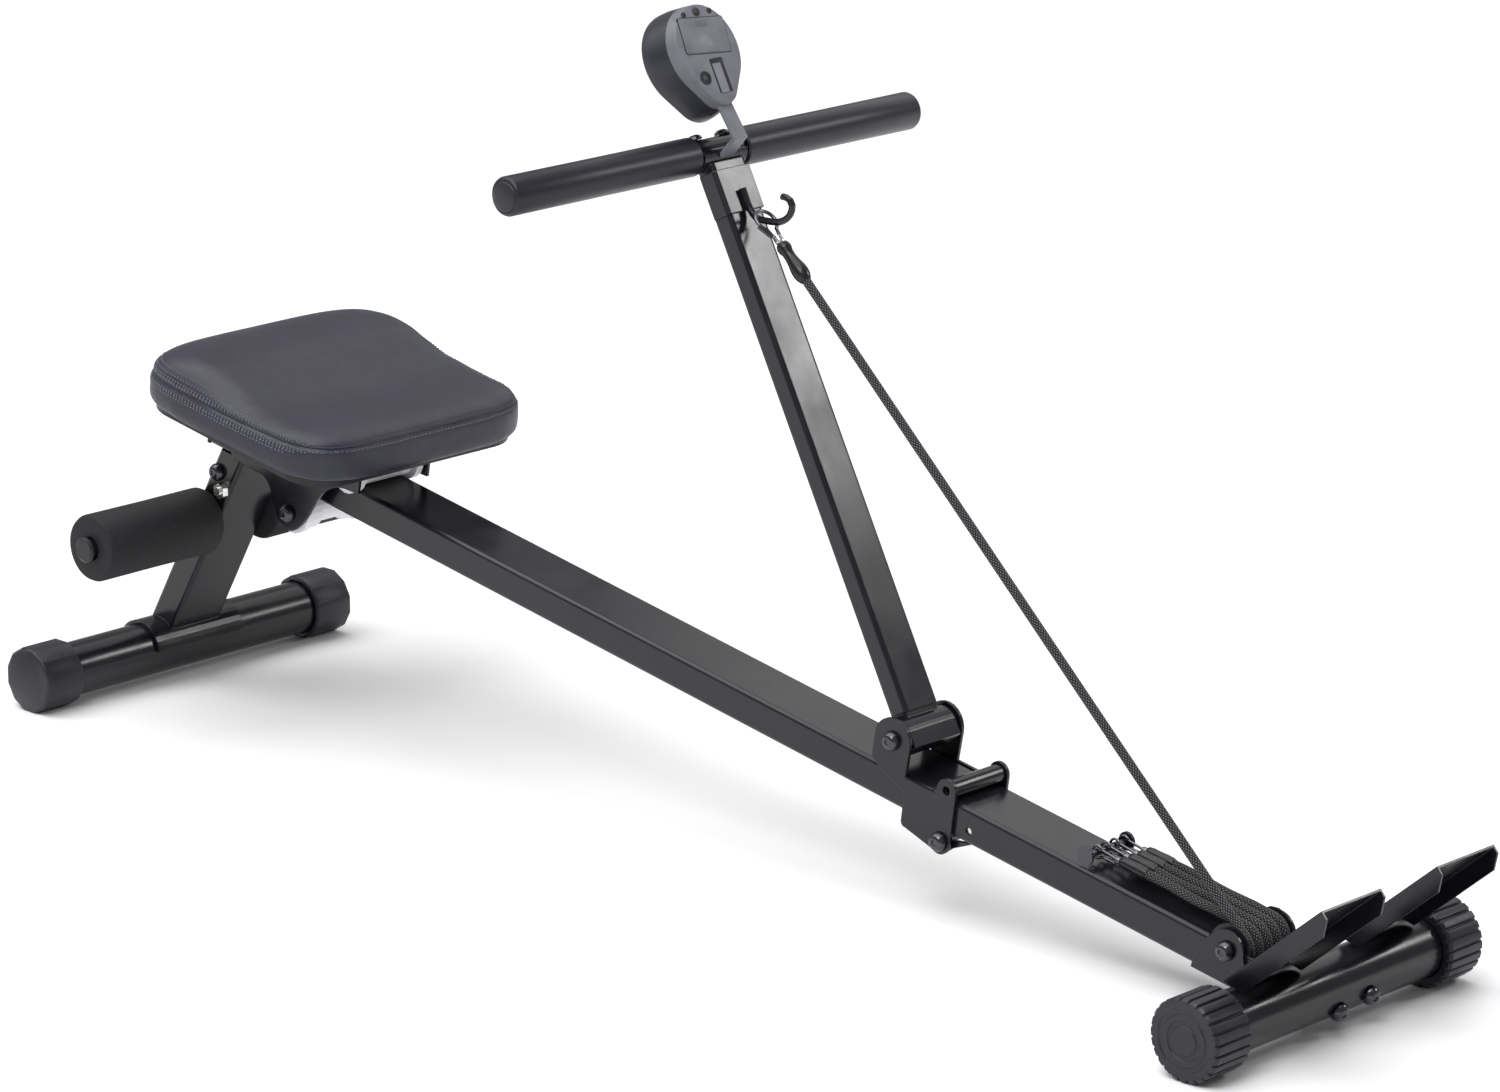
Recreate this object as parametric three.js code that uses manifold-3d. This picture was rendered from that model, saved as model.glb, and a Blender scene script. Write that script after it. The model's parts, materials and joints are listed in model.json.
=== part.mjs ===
// Folding rowing machine with a sliding seat, a swinging handle post and elastic cords.
// Millimetres. +X points from the seat to the foot plates, +Y is the rower's left, +Z is up.
// The origin is on the floor, under the middle of the machine's bounding box.
import * as THREE from "three";
import { mergeVertices } from "three/addons/utils/BufferGeometryUtils.js";
import Module from "manifold-3d";

const wasm = await Module();
wasm.setup();

// ---------------------------------------------------------------- driving dimensions
const GAP = 0.3; // clearance between touching pieces
const WALL = 1.5; // wall of every steel tube
const PLATE = 3; // thickness of the pressed steel plates
const deg = Math.PI / 180;

const WHEELBASE = 1353; // between the two floor tubes
const MID_X = 28.62; // middle of the bounding box, in front of the middle of the wheelbase
const RAIL_SLOPE = 10 * deg; // the rail falls towards the foot plates
const RAIL_HEIGHT = 165.7; // top of the rail, half way between the floor tubes
const RAIL = { width: 60, height: 30, corner: 4 };
const REAR_RAIL = { rear: -598, front: 300 }; // stations along the rail
const FRONT_RAIL = { rear: 300.6, front: 662 };

const FLOOR_TUBE_R = 25;
const REAR_TUBE = { x: -WHEELBASE / 2, z: 30, halfLength: 182 };
const REAR_CAP = { inradius: 30, sides: 12, length: 43, end: 185.5 };
const FRONT_TUBE = { x: WHEELBASE / 2, z: 34, halfLength: 161 };
const FRONT_CAP = { radius: 34, ridges: 24, length: 42, end: 165.4 };

const LEG = { lean: 30.4 * deg, foot: -684.9, width: 60, depth: 30 };
const FOAM = { x: -604, z: 166, radius: 31, inner: 31.5, outer: 166, barR: 9.5 };

const SEAT_STATION = -472; // middle of the carriage at rest
const SEAT = { length: 259, width: 281, corner: 50, bottom: 33.5, board: 6, top: 91 };
// Height of the cushion from the back to the front of the seat, as [x, height].
const SEAT_CONTOUR = [
  [-129.5, 64], [-127, 74], [-115, 83.5], [-90, 88.5], [-65, 91], [-40, 90.5], [-15, 86.5],
  [10, 81], [35, 78], [60, 77.5], [85, 79], [105, 78.5], [119, 75], [127, 69], [129.5, 62],
];
const CARRIAGE_Y = 40; // inner face of the carriage side plates
const ROLLER = { upperX: 64, upperH: 14, lowerH: -48.3, boreR: 4.4, upperFlangeR: 18.8, lowerFlangeR: 20 };

const POST_PIVOT = { s: 254.5, h: 26 };
const FOLD_PIVOT = { s: 319, h: -38 };
const LOCK_TUBE = { s: 318.5, h: 7.6, radius: 8 };
const POST_LEAN = 27.6 * deg;
const POST = { width: 40, depth: 20, forward: 3, bottom: 18.5, top: 497 };
const HANDLE = { t: 508, tubeR: 12.5, gripR: 16.4, gripInner: 27, end: 239.6 };
const MONITOR = { t: 582, u: 16.4, depth: 38 };
const HOOK = { u: 31, t: 437 }; // where the working cord hangs on the post's hook

const DRUM = { s: 618.9, h: -3.5, treadR: 10.7, ribR: 13.8, flangeR: 21, halfWidth: 28 };
const CORD_R = 4;
const CORD_BEND = 15.5; // from the drum's axis to the middle of a cord on it
const STRANDS = [-22, -11, 0, 11, 22]; // cord grooves; the first holds the working cord
const ANCHOR = { s: 463, h: 9.5 };
const CORD_SPLIT = 60; // from the drum to the joint between the two stretching lengths
const CORD_PIN = { s: 345, h: -18.6, radius: 3 };

const FOOT_PLATE = { inner: 34.6, width: 72.4, angle: 40.5 * deg, length: 122, flange: 17 };
const BOLT_R = 4;
const HEAD_R = 8;

// ---------------------------------------------------------------- materials
function material(color, roughness, metalness = 0) {
  return new THREE.MeshStandardMaterial({ color, roughness, metalness });
}
const paint = () => material(0x2b2b2f, 0.35, 0.3);
const boltBlack = () => material(0x1c1c1e, 0.3, 0.8);
const zinc = () => material(0xb8bab8, 0.3, 1);
const blackPlastic = () => material(0x3c3c42, 0.55);
const whitePlastic = () => material(0xdedee2, 0.4);
const foam = () => material(0x2e2e30, 0.95);
const gripFoam = () => material(0x44444b, 0.9);
const leather = () => material(0x40404a, 0.6);
const cordFabric = () => material(0x2a2a28, 0.9);
const rubber = () => material(0x1e1e20, 0.8);
const greyPlastic = () => material(0x77777d, 0.5);

// ---------------------------------------------------------------- solid helpers
function toSolid(geometry) {
  const bare = geometry.index ? geometry.toNonIndexed() : geometry.clone();
  bare.deleteAttribute("normal");
  bare.deleteAttribute("uv");
  const merged = mergeVertices(bare, 1e-3);
  return new wasm.Manifold(
    new wasm.Mesh({
      numProp: 3,
      vertProperties: new Float32Array(merged.attributes.position.array),
      triVerts: new Uint32Array(merged.index.array),
    }),
  );
}

function toGeometry(solid) {
  const mesh = solid.getMesh();
  const geometry = new THREE.BufferGeometry();
  geometry.setAttribute("position", new THREE.BufferAttribute(mesh.vertProperties, 3));
  geometry.setIndex(new THREE.BufferAttribute(mesh.triVerts, 1));
  const flat = geometry.toNonIndexed();
  flat.computeVertexNormals();
  return flat;
}

function cut(body, ...tools) {
  return toGeometry(tools.reduce((left, tool) => left.subtract(toSolid(tool)), toSolid(body)));
}

function join(...bodies) {
  return toGeometry(bodies.map(toSolid).reduce((sum, next) => sum.add(next)));
}

function common(...bodies) {
  return toGeometry(bodies.map(toSolid).reduce((rest, next) => rest.intersect(next)));
}

function box(sizeX, sizeY, sizeZ, x = 0, y = 0, z = 0) {
  return new THREE.BoxGeometry(sizeX, sizeY, sizeZ).translate(x, y, z);
}

// A solid of revolution about Y. Profile points are [radius, y] and run round a closed outline.
function turned(profile, segments = 24) {
  const points = profile.map(([r, y]) => new THREE.Vector2(r, y));
  return new THREE.LatheGeometry(points, segments);
}

// A hollow cylinder along Y.
function pipe(outerR, innerR, y0, y1, segments = 24) {
  return turned([[innerR, y0], [outerR, y0], [outerR, y1], [innerR, y1], [innerR, y0]], segments);
}

// A solid cylinder along Y, at a place in the XZ plane.
function rod(radius, y0, y1, x = 0, z = 0, segments = 16) {
  const points = [[0, y0], [radius, y0], [radius, y1], [0, y1]];
  return turned(points, segments).translate(x, 0, z);
}

// A flat plate in the XZ plane, from y0 to y1. The shape's own x and y are X and Z.
function plateXZ(shape, y0, y1, curveSegments = 6) {
  const geometry = new THREE.ExtrudeGeometry(shape, {
    depth: y1 - y0,
    bevelEnabled: false,
    curveSegments,
  });
  return geometry.rotateX(Math.PI / 2).translate(0, y1, 0);
}

function roundedRect(width, height, radius) {
  const shape = new THREE.Shape();
  const x = width / 2;
  const y = height / 2;
  shape.moveTo(-x + radius, -y);
  shape.lineTo(x - radius, -y);
  shape.absarc(x - radius, -y + radius, radius, -Math.PI / 2, 0);
  shape.absarc(x - radius, y - radius, radius, 0, Math.PI / 2);
  shape.absarc(-x + radius, y - radius, radius, Math.PI / 2, Math.PI);
  shape.absarc(-x + radius, -y + radius, radius, Math.PI, 1.5 * Math.PI);
  return shape;
}

function circleHole(shape, x, y, radius) {
  shape.holes.push(new THREE.Path().absarc(x, y, radius, 0, 2 * Math.PI, true));
}

// A rectangular tube along Z, with rounded corners; width lies on Y and depth on X.
function boxTube(width, depth, length, corner = 4) {
  const shape = roundedRect(depth, width, corner);
  shape.holes.push(roundedRect(depth - 2 * WALL, width - 2 * WALL, corner - WALL));
  return new THREE.ExtrudeGeometry(shape, { depth: length, bevelEnabled: false, curveSegments: 3 });
}

// A through bolt along Y: domed head at the low end, hex nut at the high end.
function throughBolt(y0, y1, radius = BOLT_R, headR = HEAD_R) {
  const head = turned([
    [0, y0 - 5], [headR * 0.7, y0 - 4], [headR, y0],
    [radius, y0], [radius, y1 + 8], [0, y1 + 8],
  ], 12);
  const nut = rod(headR - 0.5, y1, y1 + 6, 0, 0, 6);
  return join(head, nut);
}

// A tube of a given section radius along a list of points.
function alongPath(points, radius, steps, sides = 8) {
  const path = new THREE.CatmullRomCurve3(points, false, "centripetal");
  const section = new THREE.Shape();
  for (let i = 0; i < sides; i++) {
    const a = (i / sides) * 2 * Math.PI;
    const move = i === 0 ? "moveTo" : "lineTo";
    section[move](radius * Math.cos(a), radius * Math.sin(a));
  }
  return new THREE.ExtrudeGeometry(section, { steps, extrudePath: path, bevelEnabled: false });
}

// ---------------------------------------------------------------- scene graph frames
const group = new THREE.Group();
const machine = new THREE.Group();
machine.position.x = -MID_X;
group.add(machine);

function frameAt(parent, x, y, z, turnY = 0) {
  const frame = new THREE.Group();
  frame.position.set(x, y, z);
  frame.rotation.y = turnY;
  parent.add(frame);
  return frame;
}

function add(parent, name, geometry, look, x = 0, y = 0, z = 0) {
  const mesh = new THREE.Mesh(geometry, look);
  mesh.name = name;
  mesh.position.set(x, y, z);
  parent.add(mesh);
  return mesh;
}

// Station s along the rail, height h above its top.
function railToMachine(s, h) {
  return {
    x: s * Math.cos(RAIL_SLOPE) + h * Math.sin(RAIL_SLOPE),
    z: RAIL_HEIGHT - s * Math.sin(RAIL_SLOPE) + h * Math.cos(RAIL_SLOPE),
  };
}

const railFrame = frameAt(machine, 0, 0, RAIL_HEIGHT, RAIL_SLOPE);
const carriage = frameAt(railFrame, SEAT_STATION, 0, 0);
const pivot = railToMachine(POST_PIVOT.s, POST_PIVOT.h);
const postFrame = frameAt(machine, pivot.x, 0, pivot.z, -POST_LEAN);
const monitorFrame = frameAt(postFrame, MONITOR.u, 0, MONITOR.t);
const SIDES = [["right", -1], ["left", 1]];

// ---------------------------------------------------------------- rear frame
function railTube(length) {
  return boxTube(RAIL.width, RAIL.height, length, RAIL.corner)
    .rotateY(Math.PI / 2)
    .translate(0, 0, -RAIL.height / 2);
}

function buildRearRail() {
  const tube = railTube(REAR_RAIL.front - REAR_RAIL.rear).translate(REAR_RAIL.rear, 0, 0);
  const parts = [tube, railTongue()];
  const inner = RAIL.width / 2 + GAP;
  for (const y of [inner, -inner - PLATE]) parts.push(plateXZ(foldBracketShape(), y, y + PLATE));
  for (const y of [inner, -inner]) parts.push(box(54, 2 * GAP + 0.2, 1.5, 268, y, -4));
  add(railFrame, "rear_rail", join(...parts), paint());
  const inside = { y: RAIL.width - 2 * WALL - 0.8, z: RAIL.height - 2 * WALL - 0.8 };
  const plug = join(
    box(16, inside.y - 3, inside.z - 3, 7.5),
    box(3, RAIL.width, RAIL.height, -2),
  );
  add(railFrame, "rail_end_plug", plug, blackPlastic(), REAR_RAIL.rear - GAP, 0, -RAIL.height / 2);
  const stop = turned([[0, 0], [7, 0], [7, 5], [5, 7], [0, 7]], 16).rotateX(-Math.PI / 2);
  add(railFrame, "rail_stop_bumper", stop, rubber(), 93, 0, -RAIL.height - GAP);
}

function legAxis() {
  return new THREE.Matrix4()
    .makeTranslation(LEG.foot, 0, REAR_TUBE.z)
    .multiply(new THREE.Matrix4().makeRotationY(LEG.lean));
}

function legBoltHoles() {
  return LEG_BOLTS.map(([x, z]) => rod(BOLT_R + GAP, -60, 60, x, z));
}

// The short tube welded under the rail, which the top of the leg slips over. In the rail's frame.
function railTongue() {
  const width = LEG.width - 2 * WALL - 1;
  const depth = LEG.depth - 2 * WALL - 1;
  const toRail = new THREE.Matrix4()
    .makeTranslation(0, 0, RAIL_HEIGHT)
    .multiply(new THREE.Matrix4().makeRotationY(RAIL_SLOPE))
    .invert();
  const tongue = boxTube(width, depth, 90, 3).translate(0, 0, 176).applyMatrix4(legAxis());
  const holed = cut(tongue, ...legBoltHoles()).applyMatrix4(toRail);
  return cut(holed, box(400, 100, 200, -560, 0, 100 - RAIL.height + 0.5));
}

function buildRearLeg() {
  const tube = { x: REAR_TUBE.x, z: REAR_TUBE.z };
  const axis = legAxis();
  const legTube = boxTube(LEG.width, LEG.depth, 260).translate(0, 0, 3).applyMatrix4(axis);
  const seatOnTube = rod(FLOOR_TUBE_R + PLATE, -60, 60, tube.x, tube.z, 32);
  const aboveRail = box(400, 100, 200, -560, 0, 100 - RAIL.height - GAP)
    .rotateY(RAIL_SLOPE)
    .translate(0, 0, RAIL_HEIGHT);
  const barHole = rod(FOAM.barR + GAP, -60, 60, FOAM.x, FOAM.z);
  const leg = cut(legTube, seatOnTube, aboveRail, barHole, ...legBoltHoles());
  LEG_BOLTS.forEach(([x, z], i) => {
    const bolt = throughBolt(-LEG.width / 2 - GAP, LEG.width / 2 + GAP);
    if (i === 1) bolt.rotateX(Math.PI);
    add(machine, i ? "leg_bolt_lower" : "leg_bolt_upper", bolt, i ? zinc() : boltBlack(), x, 0, z);
  });

  const saddle = new THREE.Shape();
  const innerR = FLOOR_TUBE_R + GAP;
  const from = 8 * deg;
  const to = 165 * deg;
  saddle.absarc(0, 0, innerR + PLATE + 0.5, from, to, false);
  saddle.absarc(0, 0, innerR, to, from, true);
  const shell = plateXZ(saddle, -52, 52, 8).translate(tube.x, 0, tube.z);
  add(machine, "rear_leg", join(leg, shell), paint());
}
const LEG_BOLTS = [[-584, 215], [-577, 199]];

function buildRearFoot() {
  const { x, z, halfLength } = REAR_TUBE;
  const tube = pipe(FLOOR_TUBE_R, FLOOR_TUBE_R - WALL, -halfLength, halfLength, 24);
  add(machine, "rear_floor_tube", tube, paint(), x, 0, z);
  const { inradius, sides, length, end } = REAR_CAP;
  const corner = inradius / Math.cos(Math.PI / sides);
  for (const [side, sign] of SIDES) {
    const body = rod(corner, end - length, end, 0, 0, sides).rotateY(Math.PI / sides);
    const bore = rod(FLOOR_TUBE_R + GAP, end - length - 1, halfLength + GAP, 0, 0, 24);
    const cap = cut(body, bore).rotateZ(sign > 0 ? 0 : Math.PI);
    add(machine, `rear_cap_${side}`, cap, blackPlastic(), x, 0, z);
  }
}

function buildFoamRollers() {
  const { x, z, radius, inner, outer, barR } = FOAM;
  const bar = pipe(barR, barR - WALL, -outer - 4, outer + 4, 16);
  add(machine, "foam_bar", bar, paint(), x, 0, z);
  for (const [side, sign] of SIDES) {
    const edge = 3;
    const bore = barR + 0.8;
    const roller = turned([
      [bore, inner], [radius - edge, inner], [radius, inner + edge], [radius, outer - edge],
      [radius - edge, outer], [bore, outer], [bore, inner],
    ], 24).rotateZ(sign > 0 ? 0 : Math.PI);
    add(machine, `foam_roller_${side}`, roller, foam(), x, 0, z);
    const plugR = barR - WALL - 0.5;
    const face = outer + 4 + GAP;
    const plug = turned([
      [0, outer - 8], [plugR, outer - 8], [plugR, face], [12, face], [12, face + 2], [10, face + 3.5],
      [0, face + 3.5],
    ], 20).rotateZ(sign > 0 ? 0 : Math.PI);
    add(machine, `foam_plug_${side}`, plug, blackPlastic(), x, 0, z);
  }
}

// ---------------------------------------------------------------- folding joint
function foldBracketShape() {
  const { s, h } = POST_PIVOT;
  const shape = new THREE.Shape();
  shape.moveTo(s - 19, 4);
  shape.lineTo(s - 8, -3);
  shape.lineTo(275, -12);
  shape.lineTo(276, -38);
  shape.lineTo(278, -41);
  const lowR = 11;
  shape.absarc(FOLD_PIVOT.s, FOLD_PIVOT.h, lowR, -0.68 * Math.PI, 0.05 * Math.PI, false);
  shape.lineTo(328.5, 8);
  shape.absarc(LOCK_TUBE.s, LOCK_TUBE.h, 10, 0, Math.PI, false);
  shape.lineTo(LOCK_TUBE.s - 11, 0.4);
  shape.lineTo(s + 19, 0.4);
  shape.absarc(s, h, 19.5, 0, Math.PI, false);
  circleHole(shape, s, h, BOLT_R + GAP);
  circleHole(shape, FOLD_PIVOT.s, FOLD_PIVOT.h, BOLT_R + GAP);
  circleHole(shape, LOCK_TUBE.s, LOCK_TUBE.h, BOLT_R);
  return shape;
}

function buildPivotBolts() {
  const outer = RAIL.width / 2 + GAP + PLATE;
  const bolt = () => throughBolt(-outer - GAP, outer + GAP);
  add(railFrame, "post_pivot_bolt", bolt(), boltBlack(), POST_PIVOT.s, 0, POST_PIVOT.h);
  add(railFrame, "fold_pivot_bolt", bolt(), boltBlack(), FOLD_PIVOT.s, 0, FOLD_PIVOT.h);
}

// ---------------------------------------------------------------- front section
function buildFrontRail() {
  const { rear, front } = FRONT_RAIL;
  const tube = railTube(front - rear).translate(rear, 0, 0);
  const lug = new THREE.Shape();
  lug.moveTo(rear + 3, -RAIL.height + 1);
  lug.absarc(FOLD_PIVOT.s, FOLD_PIVOT.h, 10, 1.05 * Math.PI, 1.85 * Math.PI, false);
  lug.lineTo(350, -RAIL.height + 1);
  const lugs = [-27, 24].map((y) => plateXZ(lug, y, y + PLATE));
  const drumWindow = box(84, RAIL.width - 2 * WALL, 12, DRUM.s + 20, 0, 0);
  const pinHole = rod(CORD_PIN.radius + GAP, -40, 40, CORD_PIN.s, CORD_PIN.h);
  const boltHole = rod(BOLT_R + GAP, -40, 40, FOLD_PIVOT.s, FOLD_PIVOT.h);
  const axleHole = rod(BOLT_R + GAP, -40, 40, DRUM.s, DRUM.h);
  const floorTube = frontTubeInRailFrame();
  const cope = rod(FLOOR_TUBE_R + GAP, -40, 40, floorTube.s, floorTube.h, 32);
  const shell = cut(join(tube, ...lugs), drumWindow, pinHole, boltHole, cope);
  const lock = pipe(LOCK_TUBE.radius, BOLT_R, -29.6, 29.6, 20).translate(LOCK_TUBE.s, 0, LOCK_TUBE.h);
  const body = join(shell, lock, ...drumEars());
  add(railFrame, "front_rail", cut(body, axleHole), paint());
}

function frontTubeInRailFrame() {
  const dz = FRONT_TUBE.z - RAIL_HEIGHT;
  return {
    s: FRONT_TUBE.x * Math.cos(RAIL_SLOPE) - dz * Math.sin(RAIL_SLOPE),
    h: FRONT_TUBE.x * Math.sin(RAIL_SLOPE) + dz * Math.cos(RAIL_SLOPE),
  };
}

function buildFrontFoot() {
  const { x, z, halfLength } = FRONT_TUBE;
  const tube = pipe(FLOOR_TUBE_R, FLOOR_TUBE_R - WALL, -halfLength, halfLength, 24);
  add(machine, "front_floor_tube", tube, paint(), x, 0, z);
  const { radius, ridges, length, end } = FRONT_CAP;
  for (const [side, sign] of SIDES) {
    const outline = new THREE.Shape();
    const step = (2 * Math.PI) / ridges;
    const teeth = [[-0.27, 1], [0.27, 1], [0.36, 0.945], [0.64, 0.945]];
    for (let i = 0; i < ridges; i++) {
      for (const [at, scale] of teeth) {
        const a = (i + at) * step - Math.PI / 2;
        const r = scale === 1 ? radius / Math.cos(0.27 * step) : radius * scale;
        const move = outline.curves.length || outline.currentPoint.lengthSq() ? "lineTo" : "moveTo";
        outline[move](r * Math.cos(a), r * Math.sin(a));
      }
    }
    const body = plateXZ(outline, end - length, end);
    const bore = rod(FLOOR_TUBE_R + 0.8, end - length - 1, halfLength + 0.5, 0, 0, 24);
    const wheel = cut(body, bore).rotateZ(sign > 0 ? 0 : Math.PI);
    add(machine, `front_wheel_${side}`, wheel, blackPlastic(), x, 0, z);
  }
  const places = [["lower", -3.7, -32], ["upper", 33, -22]];
  for (const [name, y, angle] of places) {
    const bolt = turned([
      [0, 30.5], [4.4, 30.1], [7.2, 28.5], [8, FLOOR_TUBE_R + 0.6], [0, FLOOR_TUBE_R + 0.6],
    ].reverse(), 16).rotateZ(-Math.PI / 2);
    bolt.rotateY(-angle * deg);
    add(machine, `floor_tube_bolt_${name}`, bolt, boltBlack(), x, y, z);
  }
}

function buildFootPlates() {
  const { inner, width, angle, length, flange } = FOOT_PLATE;
  const heel = { x: FRONT_TUBE.x - 10.5, z: FRONT_TUBE.z + 30.5 };
  for (const [side, sign] of SIDES) {
    const y0 = sign > 0 ? inner : -inner - width;
    const plate = box(length, width, 2, length / 2, y0 + width / 2, -1);
    const side2 = new THREE.Shape();
    side2.moveTo(0, -0.5);
    side2.lineTo(12, -flange);
    side2.lineTo(length - 12, -flange);
    side2.lineTo(length, -flange * 0.45);
    side2.lineTo(length, -0.5);
    const flanges = [y0, y0 + width - 2].map((y) => plateXZ(side2, y, y + 2));
    const toMachine = new THREE.Matrix4()
      .makeTranslation(heel.x, 0, heel.z)
      .multiply(new THREE.Matrix4().makeRotationY(-angle));
    const tray = join(plate, ...flanges).applyMatrix4(toMachine);
    const tube = rod(FLOOR_TUBE_R + GAP, -140, 140, FRONT_TUBE.x, FRONT_TUBE.z, 32);
    add(machine, `foot_plate_${side}`, cut(tray, tube), paint());
  }
}

function buildDrum() {
  const { s, h, treadR, ribR, flangeR, halfWidth } = DRUM;
  const pitch = STRANDS[1] - STRANDS[0];
  const rib = 1;
  const profile = [[BOLT_R + 0.5, -halfWidth], [flangeR, -halfWidth], [flangeR, -halfWidth + 1.4]];
  for (const y of STRANDS) {
    const low = y - pitch / 2 + rib;
    const high = y + pitch / 2 - rib;
    const first = y === STRANDS[0];
    const last = y === STRANDS[STRANDS.length - 1];
    profile.push([first ? treadR : ribR, first ? -halfWidth + 1.4 : low]);
    profile.push([treadR, first ? low + 0.5 : low + 0.2], [treadR, last ? high - 0.5 : high - 0.2]);
    profile.push([last ? treadR : ribR, last ? halfWidth - 1.4 : high]);
  }
  profile.push([flangeR, halfWidth - 1.4], [flangeR, halfWidth], [BOLT_R + 0.5, halfWidth]);
  profile.push(profile[0]);
  add(railFrame, "cord_drum", turned(profile, 16), blackPlastic(), s, 0, h);

  const axleEnd = RAIL.width / 2 + PLATE + GAP;
  add(railFrame, "drum_axle_bolt", throughBolt(-axleEnd, axleEnd), boltBlack(), s, 0, h);
}

// The plates welded outside the rail that hold the drum's axle.
function drumEars() {
  const { s, h } = DRUM;
  const ear = new THREE.Shape();
  ear.moveTo(s - 31, -RAIL.height - 1);
  ear.lineTo(s + 28, -RAIL.height - 1);
  ear.lineTo(s + 25, -18);
  ear.absarc(s, h, 17.5, 0, 0.8 * Math.PI, false);
  ear.lineTo(s - 28, -9);
  const near = RAIL.width / 2 - 0.1;
  return [near, -near - PLATE].map((y) => plateXZ(ear, y, y + PLATE));
}

// ---------------------------------------------------------------- cords
function buildCordAnchor() {
  const { s, h } = ANCHOR;
  const pin = turned([
    [0, -26.5], [8, -26.5], [8, -24.2], [3, -24.2], [3, 24.2], [8, 24.2], [8, 26.5], [0, 26.5],
  ], 16);
  add(railFrame, "cord_anchor_pin", pin, boltBlack(), s, 0, h);
  const inner = rod(CORD_PIN.radius, -28.2, 28.2);
  add(railFrame, "cord_end_pin", inner, zinc(), CORD_PIN.s, 0, CORD_PIN.h);
}

// The stretch of a cord round the front of the drum and back inside the rail to its pin.
function innerCord(y, startAngle) {
  const { s, h } = DRUM;
  const arc = [];
  const turns = 8;
  for (let i = 0; i <= turns; i++) {
    const a = startAngle + ((-Math.PI / 2 - startAngle) * i) / turns;
    arc.push(new THREE.Vector3(s + CORD_BEND * Math.cos(a), y, h + CORD_BEND * Math.sin(a)));
  }
  const inside = straightCord(CORD_PIN.s + CORD_PIN.radius + 1, s + 0.5, y, h - CORD_BEND);
  return join(alongPath(arc, CORD_R - 0.05, turns), inside);
}

// A straight stretch of cord along the rail.
function straightCord(s0, s1, y, h) {
  const points = [s0, (s0 + s1) / 2, s1].map((s) => new THREE.Vector3(s, y, h));
  return alongPath(points, CORD_R - 0.05, 2);
}

function buildParkedCords() {
  const { s, h } = DRUM;
  const top = h + CORD_BEND;
  STRANDS.slice(1).forEach((y, i) => {
    const sleeveEnd = ANCHOR.s + 52;
    const sleeve = turned([
      [0, 0], [3.4, 0], [4.6, 3], [4.8, 14], [5.1, 22], [4.2, 28], [0, 28],
    ], 10).rotateZ(-Math.PI / 2).translate(sleeveEnd - 27.5, y, top);
    const hook = snapHook(3.6).translate(ANCHOR.s, y, ANCHOR.h);
    const outer = straightCord(sleeveEnd - 1, s + 0.5, y, top);
    const cord = join(outer, innerCord(y, Math.PI / 2), sleeve, hook);
    add(railFrame, `parked_cord_${i + 1}`, cord, cordFabric());
  });
}

// A wire snap hook: an eye round the origin and a shank along +X.
function snapHook(bore) {
  const wire = 1.6;
  const outline = new THREE.Shape();
  outline.absarc(0, 0, bore + 2 * wire, 0.12 * Math.PI, 1.88 * Math.PI, false);
  outline.lineTo(25, -wire);
  outline.lineTo(25, wire);
  circleHole(outline, 0, 0, bore);
  return plateXZ(outline, -wire, wire, 8);
}

// The working cord runs from the drum to the hook on the post.
function buildWorkingCord() {
  const r = CORD_BEND;
  const drum = railToMachine(DRUM.s, DRUM.h);
  const hook = {
    x: pivot.x + HOOK.u * Math.cos(POST_LEAN) - HOOK.t * Math.sin(POST_LEAN),
    z: pivot.z + HOOK.u * Math.sin(POST_LEAN) + HOOK.t * Math.cos(POST_LEAN),
  };
  const span = Math.hypot(hook.x - drum.x, hook.z - drum.z);
  const rise = Math.atan2(hook.z - drum.z, hook.x - drum.x);
  const tangent = rise - Math.acos(r / span);
  const start = new THREE.Vector3(
    drum.x + r * Math.cos(tangent), STRANDS[0], drum.z + r * Math.sin(tangent));
  const end = new THREE.Vector3(hook.x, 0, hook.z);
  const along = end.clone().sub(start);
  const length = along.length();
  const aim = new THREE.Matrix4().makeBasis(
    along.clone().normalize(),
    new THREE.Vector3(0, 1, 0).addScaledVector(along, -along.y / length ** 2).normalize(),
    along.clone().cross(new THREE.Vector3(0, 1, 0)).normalize(),
  );

  const sleeveLength = 40;
  const shank = 24;
  const at = (distance) => start.clone().addScaledVector(along, distance / length);
  const stretch = (from, to) => alongPath([at(from), at((from + to) / 2), at(to)], CORD_R, 2, 8);
  const upperEnd = length - sleeveLength - shank - GAP;
  add(machine, "working_cord_lower", stretch(GAP, CORD_SPLIT), cordFabric());
  add(machine, "working_cord_upper", stretch(CORD_SPLIT + GAP, upperEnd), cordFabric());

  const toHook = aim.clone().setPosition(end);
  const sleeve = turned([
    [0, 0], [3.6, 0], [5.2, 4], [5.4, 16], [6.4, 30], [4.8, 40], [0, 40],
  ], 12).rotateZ(Math.PI / 2).translate(-shank, 0, 0).applyMatrix4(toHook);
  const wire = snapHook(8.6).rotateX(Math.PI / 2).rotateY(Math.PI).applyMatrix4(toHook);
  add(machine, "working_snap_hook", join(sleeve, wire), zinc());

  // In the rail frame, the cord leaves the drum at this angle.
  const leave = tangent + RAIL_SLOPE;
  add(railFrame, "working_cord_inner", innerCord(STRANDS[0], leave - 27.5 * deg), cordFabric());
  const arc = [];
  for (let i = 0; i <= 4; i++) {
    const a = leave - 2 * deg - (21 * deg * i) / 4;
    arc.push(new THREE.Vector3(DRUM.s + r * Math.cos(a), STRANDS[0], DRUM.h + r * Math.sin(a)));
  }
  add(railFrame, "working_cord_foot", alongPath(arc, CORD_R - 0.05, 4), cordFabric());
}

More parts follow.
